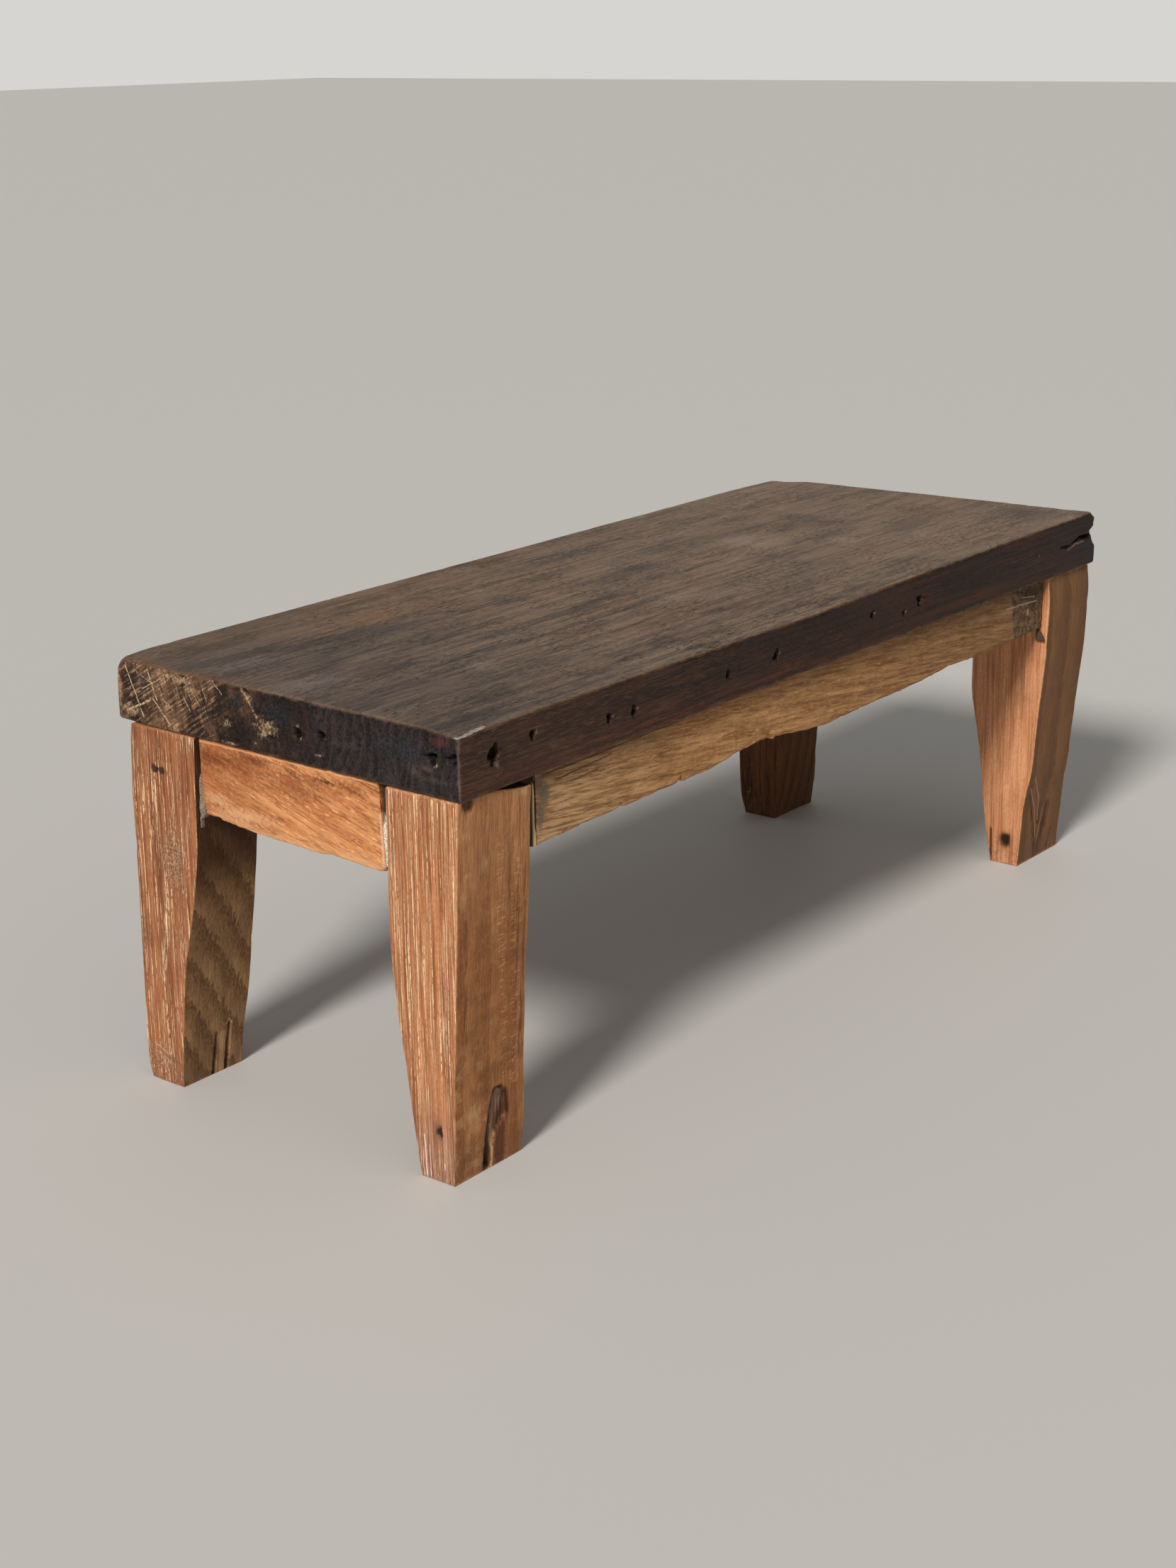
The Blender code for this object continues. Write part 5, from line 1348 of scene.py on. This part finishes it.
# %% Marks that are painted on the rails
def left_rail_marks(g, fine, broad):
    """The dark cloud along the top, the pale peach lower edge, and two pale arrises."""
    cloud = g.spots(0, [(90, 344, 70, 50), (50, 346, 100, 50), (-15, 338, 110, 44), (-84, 347, 60, 20)],
                    0.95, 0.9)
    streak = g.spots(0, [(78, 344, 66, 16), (36, 351, 70, 12), (-54, 348, 50, 8), (98, 344, 22, 30)],
                     0.9, 0.8)
    dry = g.spots(0, [(50, 296, 110, 18), (85, 305, 50, 16)], 0.9, 1.2)
    edge = g.between(g.plus(g.z, g.swing(raw(broad), 0.05)), 0.292, 0.281)
    return [
        (g.mix(fine, (98, 49, 26), (160, 89, 48)), cloud, 0.72),
        ((74, 36, 21), streak, g.between(raw(fine), 0.36, 0.56), 0.85),
        ((146, 82, 44), g.between(g.y, -0.02, 0.08, 0, 0.38)),
        ((232, 176, 128), g.lines(0, [(105, 357.4, -115, 357, 1.6)]), 0.55),
        ((228, 180, 138), dry, 0.5),
        ((236, 190, 150), g.lines(0, [(-119, 330, -120.5, 282, 4)]), 0.6),
        ((226, 172, 124), edge, 0.6)]


def front_rail_marks(g, fine, broad):
    """Grey stain at the left end, dark streaks at the top left, a smudge, a grey patch at right, a
    painted shadow of the slab along the top, and painted shade in the joints at both ends.
    """
    front = g.between(g.y, -0.195, -0.203)
    stain = g.spots(1, [(-452, 347, 20, 30), (-446, 335, 22, 36), (-452, 318, 18, 34)], 0.7, 0.5)
    dark = g.lines(1, [(-448, 353.5, -345, 354.5, 3), (-430, 345, -350, 349, 1.8),
                       (-345, 354.5, -250, 355.5, 2), (-410, 338, -370, 340, 1.4)])
    smudge = g.spots(1, [(-154, 315, 8, 40), (190.5, 318, 16, 44), (-105, 312, 30, 18)], 0.9, 0.6)
    slab_shadow = g.between(g.plus(g.z, g.swing(raw(broad), 0.04)), 0.336, 0.356)
    patch = g.between(g.plus(g.x, g.times(g.z, 0.12)), 0.429, 0.431)
    grime = g.between(g.noise(g.point, 120, 4, 0.65), 0.42, 0.58)
    cloud = g.spots(1, [(430, 348, 70, 30), (440, 336, 30, 30)], 0.8, 1.0)
    ends = g.lines(1, [(460.4, 359, 460.4, 296, 2), (-458.3, 350, -458, 305, 1.4)])
    light = g.lines(1, [(375, 339, 445.3, 336, 2), (412, 345, 440, 342, 1.4),
                        (425.5, 328.5, 426.2, 323.5, 4)])
    return [
        (g.mix(fine, (214, 178, 136), (140, 104, 72)), g.between(g.x, -0.22, -0.42), front, 0.52),
        (g.mix(fine, (62, 60, 54), (122, 114, 98)), stain, g.between(raw(fine), 0.3, 0.52, 0.55, 1), front,
         0.8),
        ((70, 44, 28), dark, front, 0.7),
        ((96, 64, 42), smudge, front, 0.35),
        (g.mix(fine, (132, 98, 68), (96, 68, 46)), g.between(g.x, -0.15, 0.4, 0, 0.62)),
        # Painted shadow of the slab's overhang, darker towards the rail's top.
        ((84, 54, 34), slab_shadow, 0.4),
        (g.mix(grime, (54, 43, 33), (116, 96, 72)), patch, front, 0.74),
        ((44, 33, 26), cloud, front, 0.7),
        # Painted shade in the joints at the rail's two ends.
        ((34, 24, 18), ends, front, 0.85),
        ((198, 176, 146), light, front, 0.55)]


# %% The rails' colours
rail_looks = {
    "apron_left": ((132, 72, 39), (192, 122, 75), (224, 158, 105), 16.0, 0.6, left_rail_marks),
    "apron_front": ((98, 62, 34), (168, 117, 71), (210, 159, 106), -6.0, 0.36, front_rail_marks),
    "apron_back": ((112, 76, 48), (164, 118, 78), (194, 150, 108), 4.0, 0.5, None),
    "apron_right": ((116, 68, 40), (174, 112, 70), (204, 146, 100), 10.0, 0.5, None),
}
for rail, look in rail_looks.items():
    pieces[rail].data.materials.append(rail_finish(rail, *look))


# %% [markdown]
# ## Filler, putty and the small parts
# Filler is dull and grey, darker above and whiter below. The cleats, pegs,
# screws and the nail keep the CAD model's own shapes, which are right as they are, and get a
# finish here. Their meshes aren't touched.

# %% Filler, sliver, cleats, pegs and metal
def filler_finish(name, dark, light, at_front=None):
    """Speckled grey, with a ragged change from dark above to light below."""
    g = Finish(name, "z")
    speck, lumps = g.noise(g.point, 700, 3, 0.6), g.noise(g.point, 130, 3, 0.6)
    if at_front:
        light = g.mix(g.between(g.y, 0.0, -0.05), light, at_front)
    level = g.plus(g.z, g.swing(lumps, 0.06))
    colour = g.coats(g.mix(g.between(level, 0.336, 0.318), dark, light),
                     ((54, 47, 41), g.between(speck, 0.46, 0.6), 0.65))
    return g.wood(colour, g.between(speck, 0.3, 0.7, 0.75, 0.92), g.plus(speck, lumps), 0.0008)


def small_wood_finish(name, grain, dark, pale):
    """Plain dry wood for parts under the seat: streaks, pores and a little dirt."""
    g = Finish(name, grain)
    fine = g.streaks(g.grain, 800, 30, 0.36, 0.66)
    colour = g.coats(g.mix(g.streaks(g.grain, 150, 8, 0.34, 0.66, 4), dark, pale),
                     (dark, fine, 0.5),
                     ((70, 50, 36), g.stains(g.point, 0.03, 0.55, 0.75), 0.4))
    return g.wood(colour, g.between(raw(fine), 0.3, 0.7, 0.6, 0.75), raw(fine), 0.0005)


def sliver_finish():
    """Dry pale wood, with painted shade in the joint beside the leg, in the open joint beside the
    rail, and along its top under the slab.
    """
    g = Finish("sliver of pale wood", "z")
    fine = g.streaks(g.grain, 800, 30, 0.36, 0.66)
    joint = g.lines(1, [(-461, 352, -459.4, 335, 2.8), (-459.4, 335, -458.6, 302, 1.8)])
    # Painted shade: the joint beside the leg, the open joint beside the rail, and a band at the top.
    dark = g.most(g.between(g.x, -0.4622, -0.4629), joint, g.between(g.z, 0.346, 0.352))
    colour = g.coats(g.mix(fine, (226, 198, 154), (188, 154, 112)), ((22, 14, 10), dark, 0.94))
    return g.wood(colour, g.between(raw(fine), 0.3, 0.7, 0.6, 0.75), raw(fine), 0.0004)


def metal_finish(name, colour, rust, share):
    """Bare metal with rust spots, which aren't metallic and are rougher."""
    g = Finish(name, "z")
    spots = g.between(g.noise(g.point, 500, 3, 0.6), 0.62 - 0.3 * share, 0.72 - 0.3 * share)
    shader = g.tree.nodes["Principled BSDF"]
    g.join(g.mix(spots, colour, rust), shader.inputs["Base Color"])
    g.join(g.between(spots, 0, 1, 0.85, 0.05), shader.inputs["Metallic"])
    g.join(g.between(spots, 0, 1, 0.38, 0.85), shader.inputs["Roughness"])
    bump = g.add("ShaderNodeBump", Strength=1.0, Distance=0.0002,
                 Height=g.plus(g.noise(g.point, 1500, 2), spots))
    g.join(bump.outputs[0], shader.inputs["Normal"])
    return g.material


# %% Give the small parts their finishes
filler = filler_finish("grey filler", (58, 52, 46), (150, 132, 110), (238, 226, 206))
for node, finish in (
        ("filler_left_front", filler), ("filler_left_back", filler), ("shim_front_left", sliver_finish()),
        ("plug_front_right", filler_finish("dark putty", (48, 36, 29), (84, 66, 54)))):
    pieces[node].data.materials.append(finish)
cleats_x, cleats_y = [small_wood_finish(f"cleat wood along {axis}", axis, (138, 98, 60), (180, 136, 90))
                      for axis in "xy"]
small_finishes = {
    "cleat_front": cleats_x, "cleat_back": cleats_x, "cleat": cleats_y,
    "peg": small_wood_finish("peg end grain", "y", (104, 66, 40), (146, 98, 62)),
    "screw": metal_finish("screw steel", (150, 146, 140), (96, 54, 32), 0.35),
    "nail": metal_finish("nail iron", (52, 46, 44), (58, 36, 26), 0.8),
}
for name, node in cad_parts.items():
    finish = small_finishes.get(name) or small_finishes.get(name.split("_")[0])
    if finish:
        node.data.materials.clear()
        node.data.materials.append(finish)
print("small parts finished:", len(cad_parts) - len(pieces))

# %% [markdown]
# ## Floor, light and camera
# The bench stands on a plain pale floor in soft light. The strongest light comes from beyond its
# left end, as the shadows in the photograph show, so the legs' end sides are bright and their
# long sides are in half shade. The camera is where the photographer's was, worked out from the
# bench's own corners.

# %% Floor and world
floor_side = np.linspace(-30, 30, 3)
floor_points, floor_quads = box_skin([floor_side, floor_side, np.array([-0.02, 0.0])])[:2]
floor_mesh = bpy.data.meshes.new("floor")
floor_mesh.from_pydata(floor_points.tolist(), [], floor_quads.tolist())
new_object("floor", floor_mesh)
floor_material = bpy.data.materials.new("pale floor")
floor_material.use_nodes = True
floor_shader = floor_material.node_tree.nodes["Principled BSDF"]
floor_shader.inputs["Base Color"].default_value = srgb(205, 203, 199)
floor_shader.inputs["Roughness"].default_value = 0.6
floor_mesh.materials.append(floor_material)

world = bpy.data.worlds.new("soft room light")
bpy.context.scene.world = world
world.use_nodes = True
world.node_tree.nodes.clear()
w = Graph(world.node_tree)
seen = w.add("ShaderNodeBackground", Color=(214, 213, 210), Strength=1.0).outputs[0]
lit = w.add("ShaderNodeBackground", Color=(1.0, 0.985, 0.96, 1.0), Strength=0.25).outputs[0]
seen_directly = w.add("ShaderNodeLightPath").outputs["Is Camera Ray"]
choice = w.add("ShaderNodeMixShader", i0=seen_directly, i1=lit, i2=seen)
w.add("ShaderNodeOutputWorld", Surface=choice.outputs[0])


# %% Lamps
def turned_to(side, above, back, place=(0, 0, 0)):
    """The matrix of an object with these three axes at this place."""
    matrix = np.eye(4)
    matrix[:3] = np.stack([side, above, back, place], axis=1)
    return Matrix(matrix.tolist())


def lamp(name, kind, energy, direction, **settings):
    """A lamp that shines along a direction, given as (x, y, z)."""
    data = bpy.data.lights.new(name, kind)
    data.energy = energy
    for label, value in settings.items():
        setattr(data, label, value)
    forward = np.asarray(direction, float) / np.linalg.norm(direction)
    side = np.cross(forward, (0, 0, 1))
    side /= np.linalg.norm(side)
    new_object(name, data).matrix_world = turned_to(side, np.cross(side, forward), -forward)
    print(name, np.round(forward, 3).tolist())


lamp("window at the left", "SUN", 3.0, (0.8, 0.2, -0.62), angle=math.radians(12), color=(1.0, 0.97, 0.93))
lamp("soft light in front", "SUN", 0.18, (0.3, 1.0, -0.8), angle=math.radians(60))

# %% Camera
SENSOR_MM, FOCAL_PIXELS, FRAME_PIXELS = 36.0, 3401.6, 2212
yaw, pitch, roll = (math.radians(angle) for angle in (38.6406, 17.674, 0.864))
forward = np.array([math.cos(yaw) * math.cos(pitch), math.sin(yaw) * math.cos(pitch), -math.sin(pitch)])
right = np.array([math.sin(yaw), -math.cos(yaw), 0.0])
down = np.cross(forward, right)
right, down = (math.cos(roll) * right + math.sin(roll) * down,
               -math.sin(roll) * right + math.cos(roll) * down)
camera_data = bpy.data.cameras.new("camera")
camera_data.sensor_width = SENSOR_MM
camera_data.lens = FOCAL_PIXELS * SENSOR_MM / FRAME_PIXELS
camera = new_object("camera", camera_data)
camera.matrix_world = turned_to(right, -down, -forward, (-1.9892, -1.4909, 0.9838))
bpy.context.scene.camera = camera
bpy.context.scene.view_settings.view_transform = "Standard"

# %% The end
bpy.context.view_layer.update()
